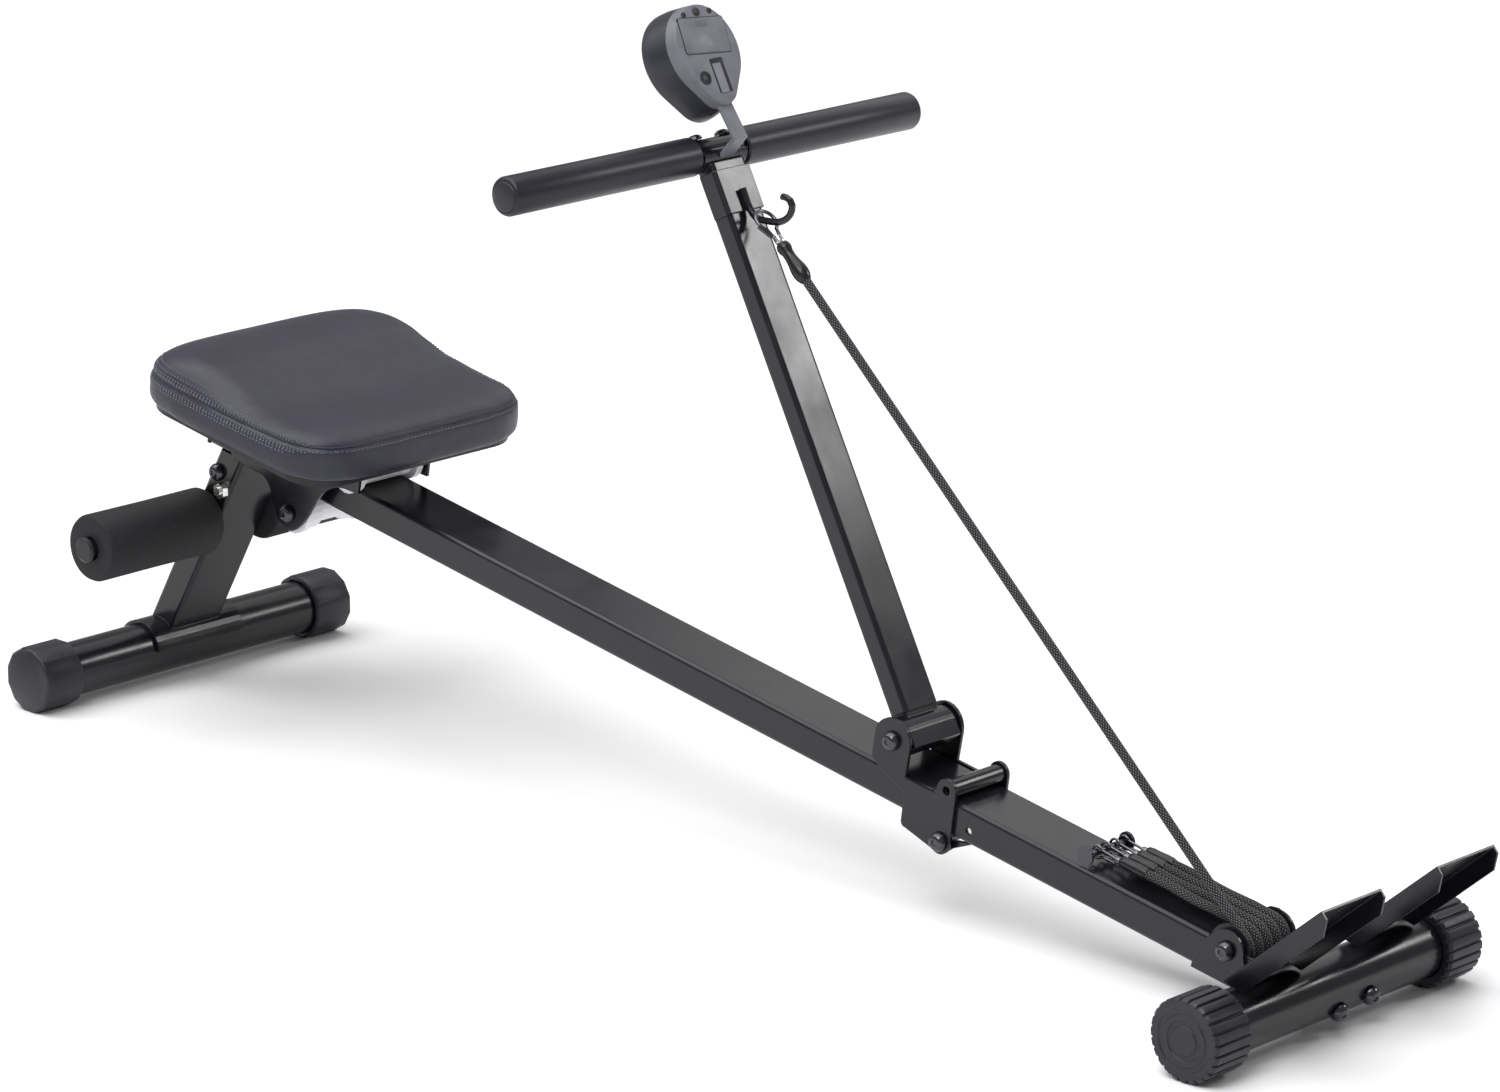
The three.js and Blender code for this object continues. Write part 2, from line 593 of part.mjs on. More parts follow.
// ---------------------------------------------------------------- seat carriage
function buildCarriage() {
  const shape = new THREE.Shape();
  shape.moveTo(-86, 30);
  shape.lineTo(-86, -12);
  shape.lineTo(-80, -25);
  shape.lineTo(-50, -25.5);
  shape.absarc(-44, -45, 20, 0.6 * Math.PI, 0.06 * Math.PI, true);
  shape.absarc(0, ROLLER.lowerH, 16.5, 1.12 * Math.PI, 1.75 * Math.PI, false);
  shape.quadraticCurveTo(22, -50, 28, -36);
  shape.quadraticCurveTo(42, -2, 68, 1.5);
  shape.lineTo(86, 3);
  shape.lineTo(86, 30);
  const axles = [["rear", -ROLLER.upperX, ROLLER.upperH], ["lower", 0, ROLLER.lowerH],
    ["front", ROLLER.upperX, ROLLER.upperH]];
  for (const [, x, z] of axles) circleHole(shape, x, z, BOLT_R + GAP);
  const cheeks = [CARRIAGE_Y, -CARRIAGE_Y - PLATE].map((y) => plateXZ(shape, y, y + PLATE));
  const saddle = box(172, 2 * (CARRIAGE_Y + PLATE), PLATE + 0.2, 0, 0, 30 + PLATE / 2);
  const flangeY = 34;
  const windows = [-1, 1].flatMap((side) =>
    [-flangeY, flangeY].map((y) => box(30, 9.6, 12, side * ROLLER.upperX, y, 32)));
  add(carriage, "seat_carriage", cut(join(saddle, ...cheeks), ...windows), paint());
  for (const [name, x, z] of axles) {
    const bolt = throughBolt(-CARRIAGE_Y - PLATE - GAP, CARRIAGE_Y + PLATE + GAP);
    add(carriage, `axle_bolt_${name}`, bolt, boltBlack(), x, 0, z);
    const upper = name !== "lower";
    const tread = upper ? ROLLER.upperH - GAP : -ROLLER.lowerH - RAIL.height - GAP;
    const waist = upper ? tread : 14;
    const { boreR } = ROLLER;
    const flangeR = upper ? ROLLER.upperFlangeR : ROLLER.lowerFlangeR;
    const rail = RAIL.width / 2 + 0.6;
    const end = CARRIAGE_Y - 2;
    const relief = upper ? [] : [[tread, -18], [waist, -14], [waist, 14], [tread, 18]];
    const roller = turned([
      [boreR, -end], [flangeR, -end], [flangeR, -rail], [tread, -rail], ...relief, [tread, rail],
      [flangeR, rail], [flangeR, end], [boreR, end], [boreR, -end],
    ], 18);
    add(carriage, `seat_roller_${name}`, roller, whitePlastic(), x, 0, z);
  }
}

function slabXY(length, width, corner, z0, z1) {
  return new THREE.ExtrudeGeometry(roundedRect(length, width, corner), {
    depth: z1 - z0,
    bevelEnabled: false,
    curveSegments: 5,
  }).translate(0, 0, z0);
}

function buildSeat() {
  const { length, width, corner, bottom, board, top } = SEAT;
  const base = slabXY(length - 24, width - 24, corner - 12, bottom, bottom + board);
  add(carriage, "seat_board", base, blackPlastic());

  const floor = bottom + board + GAP;
  const plan = slabXY(length, width, corner, floor, top);
  const side = new THREE.Shape();
  side.moveTo(-length / 2, floor);
  SEAT_CONTOUR.forEach(([x, z]) => side.lineTo(x, z));
  side.lineTo(length / 2, floor);
  const half = width / 2;
  const end = new THREE.Shape();
  end.moveTo(-half, floor);
  end.lineTo(half, floor);
  end.lineTo(half, 64);
  end.bezierCurveTo(half - 2, 76, half - 12, 84, half - 40, top);
  end.lineTo(40 - half, top);
  end.bezierCurveTo(12 - half, 84, 2 - half, 76, -half, 64);
  const cushion = common(plan, plateXZ(side, -half, half), slabX(end, -length / 2, length / 2, 6));
  add(carriage, "seat_cushion", cushion, leather());
}

// ---------------------------------------------------------------- handle post
function buildPost() {
  const { width, depth, forward, bottom, top } = POST;
  const tube = boxTube(width, depth, top - bottom, 4).translate(forward, 0, bottom);

  const foot = new THREE.Shape();
  const footR = 17;
  foot.absarc(0, 0, footR, 0.04 * Math.PI, 1.15 * Math.PI, false);
  foot.lineTo(8, -16);
  foot.lineTo(17, -12);
  circleHole(foot, 0, 0, 12);
  const barrel = plateXZ(foot, -27.6, 27.6, 7);
  const neck = box(15, 36, 8, forward, 0, footR);
  const neckBore = rod(12, -30, 30, 0, 0, 24);
  const barSeat = rod(HANDLE.tubeR + GAP, -30, 30, 0, HANDLE.t, 24);
  const welded = join(tube, barrel, neck, handleCradle(), monitorStrip());
  const post = cut(welded, neckBore, barSeat, ...handleBoltHoles(HANDLE.t));
  add(postFrame, "handle_post", post, paint());
  add(postFrame, "pivot_bush", pipe(11.6, BOLT_R + 0.4, -29.8, 29.8), whitePlastic());
}

// The curved shell under the handlebar, welded to the top of the post.
function handleCradle() {
  const { t, tubeR } = HANDLE;
  const shell = new THREE.Shape();
  const inner = tubeR + GAP;
  shell.absarc(0, 0, inner + 2.5, 1.08 * Math.PI, 1.92 * Math.PI, false);
  shell.absarc(0, 0, inner, 1.92 * Math.PI, 1.08 * Math.PI, true);
  return plateXZ(shell, -25, 25, 6).translate(0, 0, t);
}

function handleBoltHoles(height = 0) {
  const hole = () => rod(2.8, -30, 30, 0, 0, 10).rotateX(Math.PI / 2);
  return HANDLE_BOLTS.map((y) => hole().translate(0, y, height));
}

function buildHandle() {
  const { t, tubeR, gripR, gripInner, end } = HANDLE;
  const bar = pipe(tubeR, tubeR - WALL, -end + 6, end - 6, 20);
  add(postFrame, "handlebar", cut(bar, ...handleBoltHoles()), paint(), 0, 0, t);

  HANDLE_BOLTS.forEach((y, i) => {
    const bolt = turned([
      [0, -17.6], [2.5, -17.6], [2.5, tubeR + GAP], [7, tubeR + GAP], [6, 15.4], [3.4, 17], [0, 17.2],
    ], 12).rotateX(Math.PI / 2);
    add(postFrame, i ? "handle_bolt_left" : "handle_bolt_right", bolt, boltBlack(), 0, y, t);
  });

  for (const [side, sign] of SIDES) {
    const bore = tubeR + GAP + 0.1;
    const grip = turned([
      [bore, gripInner], [gripR, gripInner], [gripR, end - 5], [gripR - 1.6, end - 1.6],
      [gripR - 5, end], [0, end], [0, end - 5], [bore, end - 5], [bore, gripInner],
    ], 20).rotateZ(sign > 0 ? 0 : Math.PI);
    add(postFrame, `grip_${side}`, grip, gripFoam(), 0, 0, t);
  }
}
const HANDLE_BOLTS = [-16, 16];

function buildHookBracket() {
  const { width, depth, forward } = POST;
  const y = width / 2 + GAP;
  const front = forward + depth / 2 + GAP;
  const thick = 2;
  const wrap = new THREE.Shape();
  wrap.moveTo(forward - 6, -y);
  wrap.lineTo(forward - 6, -y - thick);
  wrap.lineTo(front + thick - 3, -y - thick);
  wrap.lineTo(front + thick, -y - thick + 3);
  wrap.lineTo(front + thick, y + thick - 3);
  wrap.lineTo(front + thick - 3, y + thick);
  wrap.lineTo(forward - 6, y + thick);
  wrap.lineTo(forward - 6, y);
  wrap.lineTo(front, y);
  wrap.lineTo(front, -y);
  const plate = new THREE.ExtrudeGeometry(wrap, { depth: 38, bevelEnabled: false });
  const hookR = 3;
  const root = front + thick + hookR - 0.4;
  const route = [
    [root, 470], [root, 452], [root + 4, 442.5], [HOOK.u, HOOK.t], [46, 431], [58, 432],
    [65, 438], [64, 445], [58, 449],
  ].map(([u, v]) => new THREE.Vector3(u, 0, v));
  const bracket = join(plate.translate(0, 0, 452), alongPath(route, hookR, 20, 8));
  add(postFrame, "cord_hook_bracket", bracket, paint());
}

// ---------------------------------------------------------------- monitor
// Pear outline in the YZ plane: a large circle above and a small circle below.
function pearShape(grow = 0) {
  const big = { r: 41 + grow, z: 5 };
  const small = { r: 21 + grow, z: -26 };
  const lean = Math.asin((big.r - small.r) / (big.z - small.z));
  const shape = new THREE.Shape();
  shape.absarc(0, big.z, big.r, -lean, Math.PI + lean, false);
  shape.absarc(0, small.z, small.r, Math.PI + lean, 2 * Math.PI - lean, false);
  return shape;
}

// Extrudes a YZ shape along +X.
function slabX(shape, x0, x1, curveSegments = 7) {
  return new THREE.ExtrudeGeometry(shape, { depth: x1 - x0, bevelEnabled: false, curveSegments })
    .rotateX(Math.PI / 2)
    .rotateZ(Math.PI / 2)
    .translate(x0, 0, 0);
}

function buildMonitor() {
  const half = MONITOR.depth / 2;
  const wall = 2;
  const split = half - 10; // joint between the front housing and the rear cover
  const lensWindow = roundedRect(50, 28, 3);
  const housing = cut(
    slabX(pearShape(), -half, split),
    slabX(pearShape(-wall), -half + wall, split + 1),
    slabX(lensWindow, -half - 1, -half + wall + 1).translate(0, 0, 10),
    rod(6.4, -half - 1, -half + wall + 1).rotateZ(-Math.PI / 2).translate(0, 0, -22),
  );
  add(monitorFrame, "monitor_housing", housing, greyPlastic());

  const coverOuter = slabX(pearShape(), split + GAP, half);
  const coverInner = slabX(pearShape(-wall), split, half - wall);
  const doorHole = box(8, 50.6, 28.6, half, 0, 18);
  const slot = box(9.5, 17, 20, half - 5.5, 0, -46);
  add(monitorFrame, "monitor_rear_cover", cut(coverOuter, coverInner, doorHole, slot),
    greyPlastic());
  add(monitorFrame, "battery_door", box(2.4, 50, 28, half - 1.2, 0, 18), greyPlastic());
  const lens = slabX(roundedRect(49.2, 27.2, 2.8), -half + 0.3, -half + 1.9, 3);
  add(monitorFrame, "monitor_lens", lens.translate(0, 0, 10), blackPlastic());
  const board = box(1.6, 56, 46, -half + 10, 0, 6);
  add(monitorFrame, "monitor_board", board, blackPlastic());
  const button = join(
    rod(6, -half - 1.6, -half + 4, 0, 0, 16),
    rod(8, -half + 3, -half + 5, 0, 0, 16),
  ).rotateZ(-Math.PI / 2);
  add(monitorFrame, "monitor_button", button, material(0xb04038, 0.5), 0, 0, -22);

}

// The strip that carries the monitor, from the top of the post up into the rear cover's slot.
function monitorStrip() {
  const strip = new THREE.Shape();
  strip.moveTo(13.2, 500);
  strip.lineTo(36, 508.6);
  strip.lineTo(30.6, 545);
  strip.lineTo(28.6, 545);
  strip.lineTo(33.6, 510.2);
  strip.lineTo(13.4, 502.2);
  return plateXZ(strip, -7.5, 7.5);
}

buildRearRail();
buildRearLeg();
buildRearFoot();
buildFoamRollers();
buildPivotBolts();
buildFrontRail();
buildFrontFoot();
buildFootPlates();
buildDrum();
buildCordAnchor();
buildParkedCords();
buildWorkingCord();
buildCarriage();
buildSeat();
buildPost();
buildHandle();
buildHookBracket();
buildMonitor();

export default group;
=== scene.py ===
"""The looks of a folding rowing machine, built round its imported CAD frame. All lengths are in metres."""

import json
import math

import bmesh
import bpy
from mathutils import Matrix, Vector
from mathutils.bvhtree import BVHTree


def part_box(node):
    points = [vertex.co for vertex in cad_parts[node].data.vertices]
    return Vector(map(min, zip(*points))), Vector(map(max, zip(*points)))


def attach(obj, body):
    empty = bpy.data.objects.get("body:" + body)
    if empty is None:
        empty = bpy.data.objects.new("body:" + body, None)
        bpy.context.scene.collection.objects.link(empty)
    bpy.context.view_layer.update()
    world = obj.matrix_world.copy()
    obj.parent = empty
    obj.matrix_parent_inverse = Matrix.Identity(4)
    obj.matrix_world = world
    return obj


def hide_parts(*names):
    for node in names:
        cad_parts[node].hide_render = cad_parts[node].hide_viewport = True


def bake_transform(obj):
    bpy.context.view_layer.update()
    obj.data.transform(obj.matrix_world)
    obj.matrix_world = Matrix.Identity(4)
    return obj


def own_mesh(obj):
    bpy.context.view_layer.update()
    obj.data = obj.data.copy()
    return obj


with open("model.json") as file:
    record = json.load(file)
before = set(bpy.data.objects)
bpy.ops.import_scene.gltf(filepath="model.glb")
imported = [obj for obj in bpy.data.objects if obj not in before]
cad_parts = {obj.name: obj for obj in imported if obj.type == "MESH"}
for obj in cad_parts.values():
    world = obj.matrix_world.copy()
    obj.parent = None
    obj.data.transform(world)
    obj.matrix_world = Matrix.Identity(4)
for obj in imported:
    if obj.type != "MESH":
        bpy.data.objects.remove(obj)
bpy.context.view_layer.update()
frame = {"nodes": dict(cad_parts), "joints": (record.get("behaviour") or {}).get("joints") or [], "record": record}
NODES = frame["nodes"]
JOINTS = {j["name"]: j for j in frame["joints"]}

# ---------------------------------------------------------------- frames of the machine
MID_X = 0.02862
FOOT_X = 0.6765  # half the distance between the floor tubes
RAIL_SLOPE = math.radians(10)
POST_LEAN = math.radians(27.6)
RAIL = Matrix.Translation((-MID_X, 0, 0.1657)) @ Matrix.Rotation(RAIL_SLOPE, 4, "Y")
SEAT_STATION = -0.472
CARRIAGE = RAIL @ Matrix.Translation((SEAT_STATION, 0, 0))
PIVOT = Vector(JOINTS["post_pivot"]["pos_m"])
POST = Matrix.Translation(PIVOT) @ Matrix.Rotation(-POST_LEAN, 4, "Y")
HANDLE = POST @ Matrix.Translation((0, 0, 0.508))
MONITOR = POST @ Matrix.Translation((0.0164, 0, 0.582))
REAR_TUBE = Matrix.Translation((-FOOT_X - MID_X, 0, 0.030))
FRONT_TUBE = Matrix.Translation((FOOT_X - MID_X, 0, 0.034))
FOAM_AXIS = Matrix.Translation((-0.604 - MID_X, 0, 0.166))
DRUM_S, DRUM_H = 0.6189, -0.0035
CORD_BEND = 0.0155  # from the drum's axis to the middle of a cord
CORD_R = 0.004
STRANDS = [-0.022, -0.011, 0.0, 0.011, 0.022]
ANCHOR_S, ANCHOR_H = 0.463, 0.0095
CORD_PIN_S = 0.345
HOOK_U, HOOK_T = 0.031, 0.437
CORD_SPLIT = 0.018  # where the lower stretch meets the upper one, from the drum
FERRULE_GAP = 0.024  # from the hook to the near end of the working cord's ferrule
CORD_GAP = 0.0645  # from the hook to the end of the working cord
SIDES = (("right", -1), ("left", 1))
HEAD_R = 0.0080
HEADED_BOLTS = (("leg_bolt_upper", "frame"), ("post_pivot_bolt", "frame"), ("fold_pivot_bolt", "frame"),
                ("drum_axle_bolt", "front_section"), ("axle_bolt_rear", "seat"), ("axle_bolt_lower", "seat"),
                ("axle_bolt_front", "seat"))


# ---------------------------------------------------------------- camera
def add_camera():
    data = bpy.data.cameras.new("camera")
    data.lens = 135.54
    data.sensor_width = 36
    data.clip_end = 30
    camera = bpy.data.objects.new("camera", data)
    right = Vector((0.719596, 0.694393, 0.000123))
    up = -Vector((0.191604, -0.198388, -0.961213))
    back = -Vector((-0.667436, 0.691708, -0.275807))
    turn = Matrix((right, up, back)).transposed().to_4x4()
    camera.matrix_world = Matrix.Translation((3.21841 - MID_X, -3.27146, 1.57156)) @ turn
    bpy.context.scene.collection.objects.link(camera)
    bpy.context.scene.camera = camera


# ---------------------------------------------------------------- materials
def new_material(name, color, roughness, metallic=0.0, **sockets):
    material = bpy.data.materials.new(name)
    material.use_nodes = True
    shader = material.node_tree.nodes["Principled BSDF"]
    shader.inputs["Base Color"].default_value = (*color, 1)
    shader.inputs["Roughness"].default_value = roughness
    shader.inputs["Metallic"].default_value = metallic
    for socket, value in sockets.items():
        shader.inputs[socket.replace("_", " ")].default_value = value
    return material


def node(material, kind, **values):
    made = material.node_tree.nodes.new(kind)
    for key, value in values.items():
        if key in made.inputs:
            made.inputs[key].default_value = value
        else:
            setattr(made, key, value)
    return made


def link(material, source, target):
    material.node_tree.links.new(source, target)


def coordinates(material, output="Object"):
    return node(material, "ShaderNodeTexCoord").outputs[output]


def noise(material, scale, detail=4.0, roughness=0.6, vector=None):
    made = node(material, "ShaderNodeTexNoise", Scale=scale, Detail=detail, Roughness=roughness)
    link(material, vector or coordinates(material), made.inputs["Vector"])
    return made.outputs["Fac"]


def ramp(material, value, low, high, low_at=0.3, high_at=0.7):
    made = node(material, "ShaderNodeMapRange")
    made.inputs["From Min"].default_value = low_at
    made.inputs["From Max"].default_value = high_at
    made.inputs["To Min"].default_value = low
    made.inputs["To Max"].default_value = high
    link(material, value, made.inputs["Value"])
    return made.outputs["Result"]


def shader_of(material):
    return material.node_tree.nodes["Principled BSDF"]


def vary_color(material, value, dark, light, low_at=0.3, high_at=0.7):
    mix = node(material, "ShaderNodeMix", data_type="RGBA")
    for socket in mix.inputs:
        if socket.name == "A" and socket.type == "RGBA":
            socket.default_value = (*dark, 1)
        if socket.name == "B" and socket.type == "RGBA":
            socket.default_value = (*light, 1)
    link(material, ramp(material, value, 0, 1, low_at, high_at), mix.inputs["Factor"])
    result = [s for s in mix.outputs if s.type == "RGBA"][0]
    link(material, result, shader_of(material).inputs["Base Color"])


def vary_roughness(material, value, low, high):
    link(material, ramp(material, value, low, high), shader_of(material).inputs["Roughness"])


def bump(material, heights, rounding=0.0):
    """Bumps the surface by (value, strength, distance) layers, over edges rounded by the bevel shader."""
    normal = None
    if rounding:
        normal = node(material, "ShaderNodeBevel", Radius=rounding, samples=6).outputs["Normal"]
    for value, strength, distance in heights:
        made = node(material, "ShaderNodeBump", Strength=strength, Distance=distance)
        link(material, value, made.inputs["Height"])
        if normal is not None:
            link(material, normal, made.inputs["Normal"])
        normal = made.outputs["Normal"]
    link(material, normal, shader_of(material).inputs["Normal"])


def powder_coat():
    made = new_material("powder_coat", (0.0060, 0.0060, 0.0085), 0.24, Specular_IOR_Level=0.4)
    fine = noise(made, 1400, 2.0)
    broad = noise(made, 22, 5.0)
    vary_color(made, broad, (0.0048, 0.0048, 0.0070), (0.0080, 0.0080, 0.0112))
    vary_roughness(made, broad, 0.17, 0.27)
    bump(made, [(fine, 0.02, 0.0004)], rounding=0.0012)
    return made


def black_bolt():
    made = new_material("black_bolt", (0.07, 0.07, 0.08), 0.16, 0.85)
    vary_roughness(made, noise(made, 300), 0.10, 0.22)
    bump(made, [(noise(made, 900), 0.06, 0.0003)], rounding=0.0006)
    return made


def zinc():
    made = new_material("zinc", (0.72, 0.72, 0.70), 0.24, 1.0)
    vary_color(made, noise(made, 180), (0.60, 0.60, 0.58), (0.80, 0.80, 0.78))
    vary_roughness(made, noise(made, 500), 0.16, 0.34)
    bump(made, [(noise(made, 1200), 0.08, 0.0003)], rounding=0.0004)
    return made


def moulded_plastic(name, color, roughness, grain=0.12, spread=0.15):
    made = new_material(name, color, roughness, Specular_IOR_Level=0.35)
    dark = tuple(c * (1 - spread) for c in color)
    light = tuple(c * (1 + spread) for c in color)
    vary_color(made, noise(made, 60), dark, light)
    vary_roughness(made, noise(made, 250), roughness - 0.06, roughness + 0.06)
    cells = node(made, "ShaderNodeTexVoronoi", Scale=1600.0)
    link(made, coordinates(made), cells.inputs["Vector"])
    bump(made, [(cells.outputs["Distance"], grain, 0.0003)], rounding=0.0008)
    return made


def foam(name, color, strength, roughness=0.8, spread=0.3):
    made = new_material(name, color, roughness, Specular_IOR_Level=0.35)
    dark = tuple(c * (1 - spread) for c in color)
    light = tuple(c * (1 + spread) for c in color)
    vary_color(made, noise(made, 350, 3.0), dark, light)
    cells = node(made, "ShaderNodeTexVoronoi", Scale=850.0)
    link(made, coordinates(made), cells.inputs["Vector"])
    bump(made, [(cells.outputs["Distance"], strength, 0.0006), (noise(made, 60), 0.15, 0.001)])
    return made


def leather():
    """Slate synthetic leather: pebbled grain over fine pores, a soft sheen."""
    made = new_material("seat_leather", (0.0215, 0.021, 0.034), 0.44, Specular_IOR_Level=0.4)
    vary_color(made, noise(made, 14, 5.0), (0.0185, 0.018, 0.030), (0.0235, 0.023, 0.038))
    pebbles = node(made, "ShaderNodeTexVoronoi", Scale=520.0, feature="SMOOTH_F1")
    warped = node(made, "ShaderNodeVectorMath", operation="ADD")
    wander = node(made, "ShaderNodeTexNoise", Scale=160.0, Detail=2.0)
    link(made, coordinates(made), wander.inputs["Vector"])
    small = node(made, "ShaderNodeVectorMath", operation="SCALE", Scale=0.0025)
    link(made, wander.outputs["Color"], small.inputs[0])
    link(made, coordinates(made), warped.inputs[0])
    link(made, small.outputs["Vector"], warped.inputs[1])
    link(made, warped.outputs["Vector"], pebbles.inputs["Vector"])
    vary_roughness(made, noise(made, 90), 0.40, 0.50)
    heights = [
        (pebbles.outputs["Distance"], 0.28, 0.0004),
        (noise(made, 1500, 2.0), 0.1, 0.0002),
        (noise(made, 26, 3.0), 0.12, 0.0015),
    ]
    bump(made, heights)
    return made


def woven_cord(name, color, fleck):
    """A woven sleeve: crossing ribs round the cord, with pale flecks. UVs are metres: around, along."""
    made = new_material(name, color, 0.75, Specular_IOR_Level=0.3, Sheen_Weight=0.1)
    uv = coordinates(made, "UV")
    ribs = []
    for turn in (35, -35):
        mapping = node(made, "ShaderNodeMapping")
        mapping.inputs["Rotation"].default_value = (0, 0, math.radians(turn))
        link(made, uv, mapping.inputs["Vector"])
        wave = node(made, "ShaderNodeTexWave", Scale=150.0, Distortion=0.0)
        link(made, mapping.outputs["Vector"], wave.inputs["Vector"])
        ribs.append(wave.outputs["Fac"])
    cross = node(made, "ShaderNodeMath", operation="MULTIPLY")
    link(made, ribs[0], cross.inputs[0])
    link(made, ribs[1], cross.inputs[1])
    vary_color(made, cross.outputs["Value"], color, fleck, 0.50, 0.92)
    bump(made, [(cross.outputs["Value"], 0.7, 0.0008)])
    return made


PAINT = powder_coat()
BOLT = black_bolt()
ZINC = zinc()
GUNMETAL = new_material("gunmetal", (0.14, 0.14, 0.15), 0.26, 1.0)
CAP = moulded_plastic("cap_plastic", (0.014, 0.014, 0.019), 0.38, 0.22)
BLACK_PLASTIC = moulded_plastic("black_plastic", (0.010, 0.010, 0.012), 0.38)
# A darker copy of the cover plastic for the monitor's housing: painted shade on its sides and front.
SHADED_HOUSING = moulded_plastic("housing_plastic_painted_shade", (0.022, 0.022, 0.032), 0.36)
COVER = moulded_plastic("cover_plastic", (0.135, 0.137, 0.160), 0.42)
WHITE = moulded_plastic("white_nylon", (0.82, 0.82, 0.85), 0.35, 0.08, 0.03)
RED = moulded_plastic("button_red", (0.45, 0.05, 0.04), 0.35, 0.05, 0.05)
LENS = new_material("lens_glass", (0.02, 0.025, 0.022), 0.08)
RUBBER = moulded_plastic("rubber", (0.008, 0.008, 0.009), 0.42, 0.15)
ROLLER_FOAM = foam("roller_foam", (0.010, 0.010, 0.012), 0.4, 0.7)
GRIP_FOAM = foam("grip_foam", (0.011, 0.011, 0.017), 0.07, 0.36, 0.1)
LEATHER = leather()
THREAD = new_material("thread", (0.085, 0.088, 0.11), 0.5)
SLEEVE_RUBBER = moulded_plastic("sleeve_rubber", (0.010, 0.010, 0.012), 0.22, 0.05)
CORD = woven_cord("cord_sleeve", (0.007, 0.007, 0.008), (0.26, 0.26, 0.28))

CAD_LOOKS = {
    "frame_paint": PAINT,
    "bolt_black": BOLT,
    "zinc_steel": ZINC,
    "black_plastic": BLACK_PLASTIC,
    "monitor_plastic": COVER,
    "button_plastic": RED,
    "white_plastic": WHITE,
    "black_rubber": RUBBER,
    "roller_foam": ROLLER_FOAM,
    "grip_foam": GRIP_FOAM,
    "cord_cover": CORD,
    "seat_leather": LEATHER,
}


def paint_cad_nodes():
    for part in frame["record"]["subparts"]:
        look = CAD_LOOKS[part["material_slot"]]
        shown = NODES[part["node"]]
        for index in range(len(shown.material_slots)):
            shown.material_slots[index].link = "OBJECT"
            shown.material_slots[index].material = look
    # The housing gets the darker copy of the monitor plastic, which is painted shade.
    for name, look in (("monitor_lens", LENS), ("monitor_housing", SHADED_HOUSING)):
        NODES[name].material_slots[0].material = look


# ---------------------------------------------------------------- mesh helpers
def mesh_object(name, vertices, faces, material, smooth=True, uvs=None):
    data = bpy.data.meshes.new(name)
    data.from_pydata([tuple(v) for v in vertices], [], faces)
    data.update()
    if uvs:
        layer = data.uv_layers.new(name="UVMap")
        for loop in data.loops:
            layer.data[loop.index].uv = uvs[loop.vertex_index]
    data.materials.append(material)
    made = bpy.data.objects.new(name, data)
    bpy.context.scene.collection.objects.link(made)
    if smooth:
        data.shade_smooth()
        data.set_sharp_from_angle(angle=math.radians(38))
    return made


def place(made, matrix):
    made.data.transform(matrix)
    made.data.update()
    return made


def lathe(name, profile, material, matrix=None, segments=64, smooth=True, radius_at=None):
    """A closed solid of revolution about local Y. Profile points are (radius, y)."""
    vertices, faces = [], []
    rings = []
    for r, y in profile:
        if r < 1e-7:
            rings.append([len(vertices)])
            vertices.append((0, y, 0))
            continue
        ring = []
        for i in range(segments):
            a = 2 * math.pi * i / segments
            scale = radius_at(a, r, y) if radius_at else r
            ring.append(len(vertices))
            vertices.append((scale * math.sin(a), y, scale * math.cos(a)))
        rings.append(ring)
    closed = profile[0][0] > 1e-7
    pairs = list(zip(rings, rings[1:])) + ([(rings[-1], rings[0])] if closed else [])
    for low, high in pairs:
        for i in range(segments):
            k = (i + 1) % segments
            if len(low) == 1 and len(high) > 1:
                faces.append((low[0], high[k], high[i]))
            elif len(high) == 1 and len(low) > 1:
                faces.append((low[i], low[k], high[0]))
            elif len(low) > 1:
                faces.append((low[i], low[k], high[k], high[i]))
    made = mesh_object(name, vertices, faces, material, smooth)
    return place(made, matrix) if matrix else made


def mirrored_y(sign):
    return Matrix.Identity(4) if sign > 0 else Matrix.Rotation(math.pi, 4, "Z")


def tube(name, points, radius, material, sides=14, closed=False, up=Vector((0, 1, 0))):
    """A round tube along points, with UVs in metres. up is a direction that the route never takes."""
    points = [Vector(p) for p in points]
    count = len(points)
    vertices, faces, uvs = [], [], []
    run = 0.0
    for i, p in enumerate(points):
        before = points[i - 1] if i or closed else p
        after = points[(i + 1) % count] if i < count - 1 or closed else p
        ahead = (after - before).normalized()
        side = ahead.cross(up).normalized()
        normal = side.cross(ahead).normalized()
        run += (p - points[i - 1]).length if i else 0.0
        for k in range(sides):
            a = 2 * math.pi * k / sides
            vertices.append(p + radius * (math.cos(a) * side + math.sin(a) * normal))
            uvs.append((2 * math.pi * radius * k / sides, run))
    spans = count if closed else count - 1
    for i in range(spans):
        for k in range(sides):
            n, m = (k + 1) % sides, (i + 1) % count
            faces.append((i * sides + k, m * sides + k, m * sides + n, i * sides + n))
    if not closed:
        faces.append(tuple(range(sides)))
        faces.append(tuple(reversed(range((count - 1) * sides, count * sides))))
    made = mesh_object(name, vertices, faces, material, True, uvs)
    fix = bmesh.new()
    fix.from_mesh(made.data)
    bmesh.ops.recalc_face_normals(fix, faces=fix.faces)
    fix.to_mesh(made.data)
    fix.free()
    return made


def slab(name, outline, levels, material, matrix, smooth=True):
    """A closed solid from outline(inset), which gives (y, z) points, at (inset, x) levels along local X."""
    vertices, faces = [], []
    count = len(outline(0))
    for inset, x in levels:
        vertices += [(x, y, z) for y, z in outline(inset)]
    for i in range(len(levels) - 1):
        for k in range(count):
            n = (k + 1) % count
            faces.append((i * count + k, i * count + n, (i + 1) * count + n, (i + 1) * count + k))
    faces.append(tuple(reversed(range(count))))
    faces.append(tuple(range((len(levels) - 1) * count, len(levels) * count)))
    return place(mesh_object(name, vertices, faces, material, smooth), matrix)


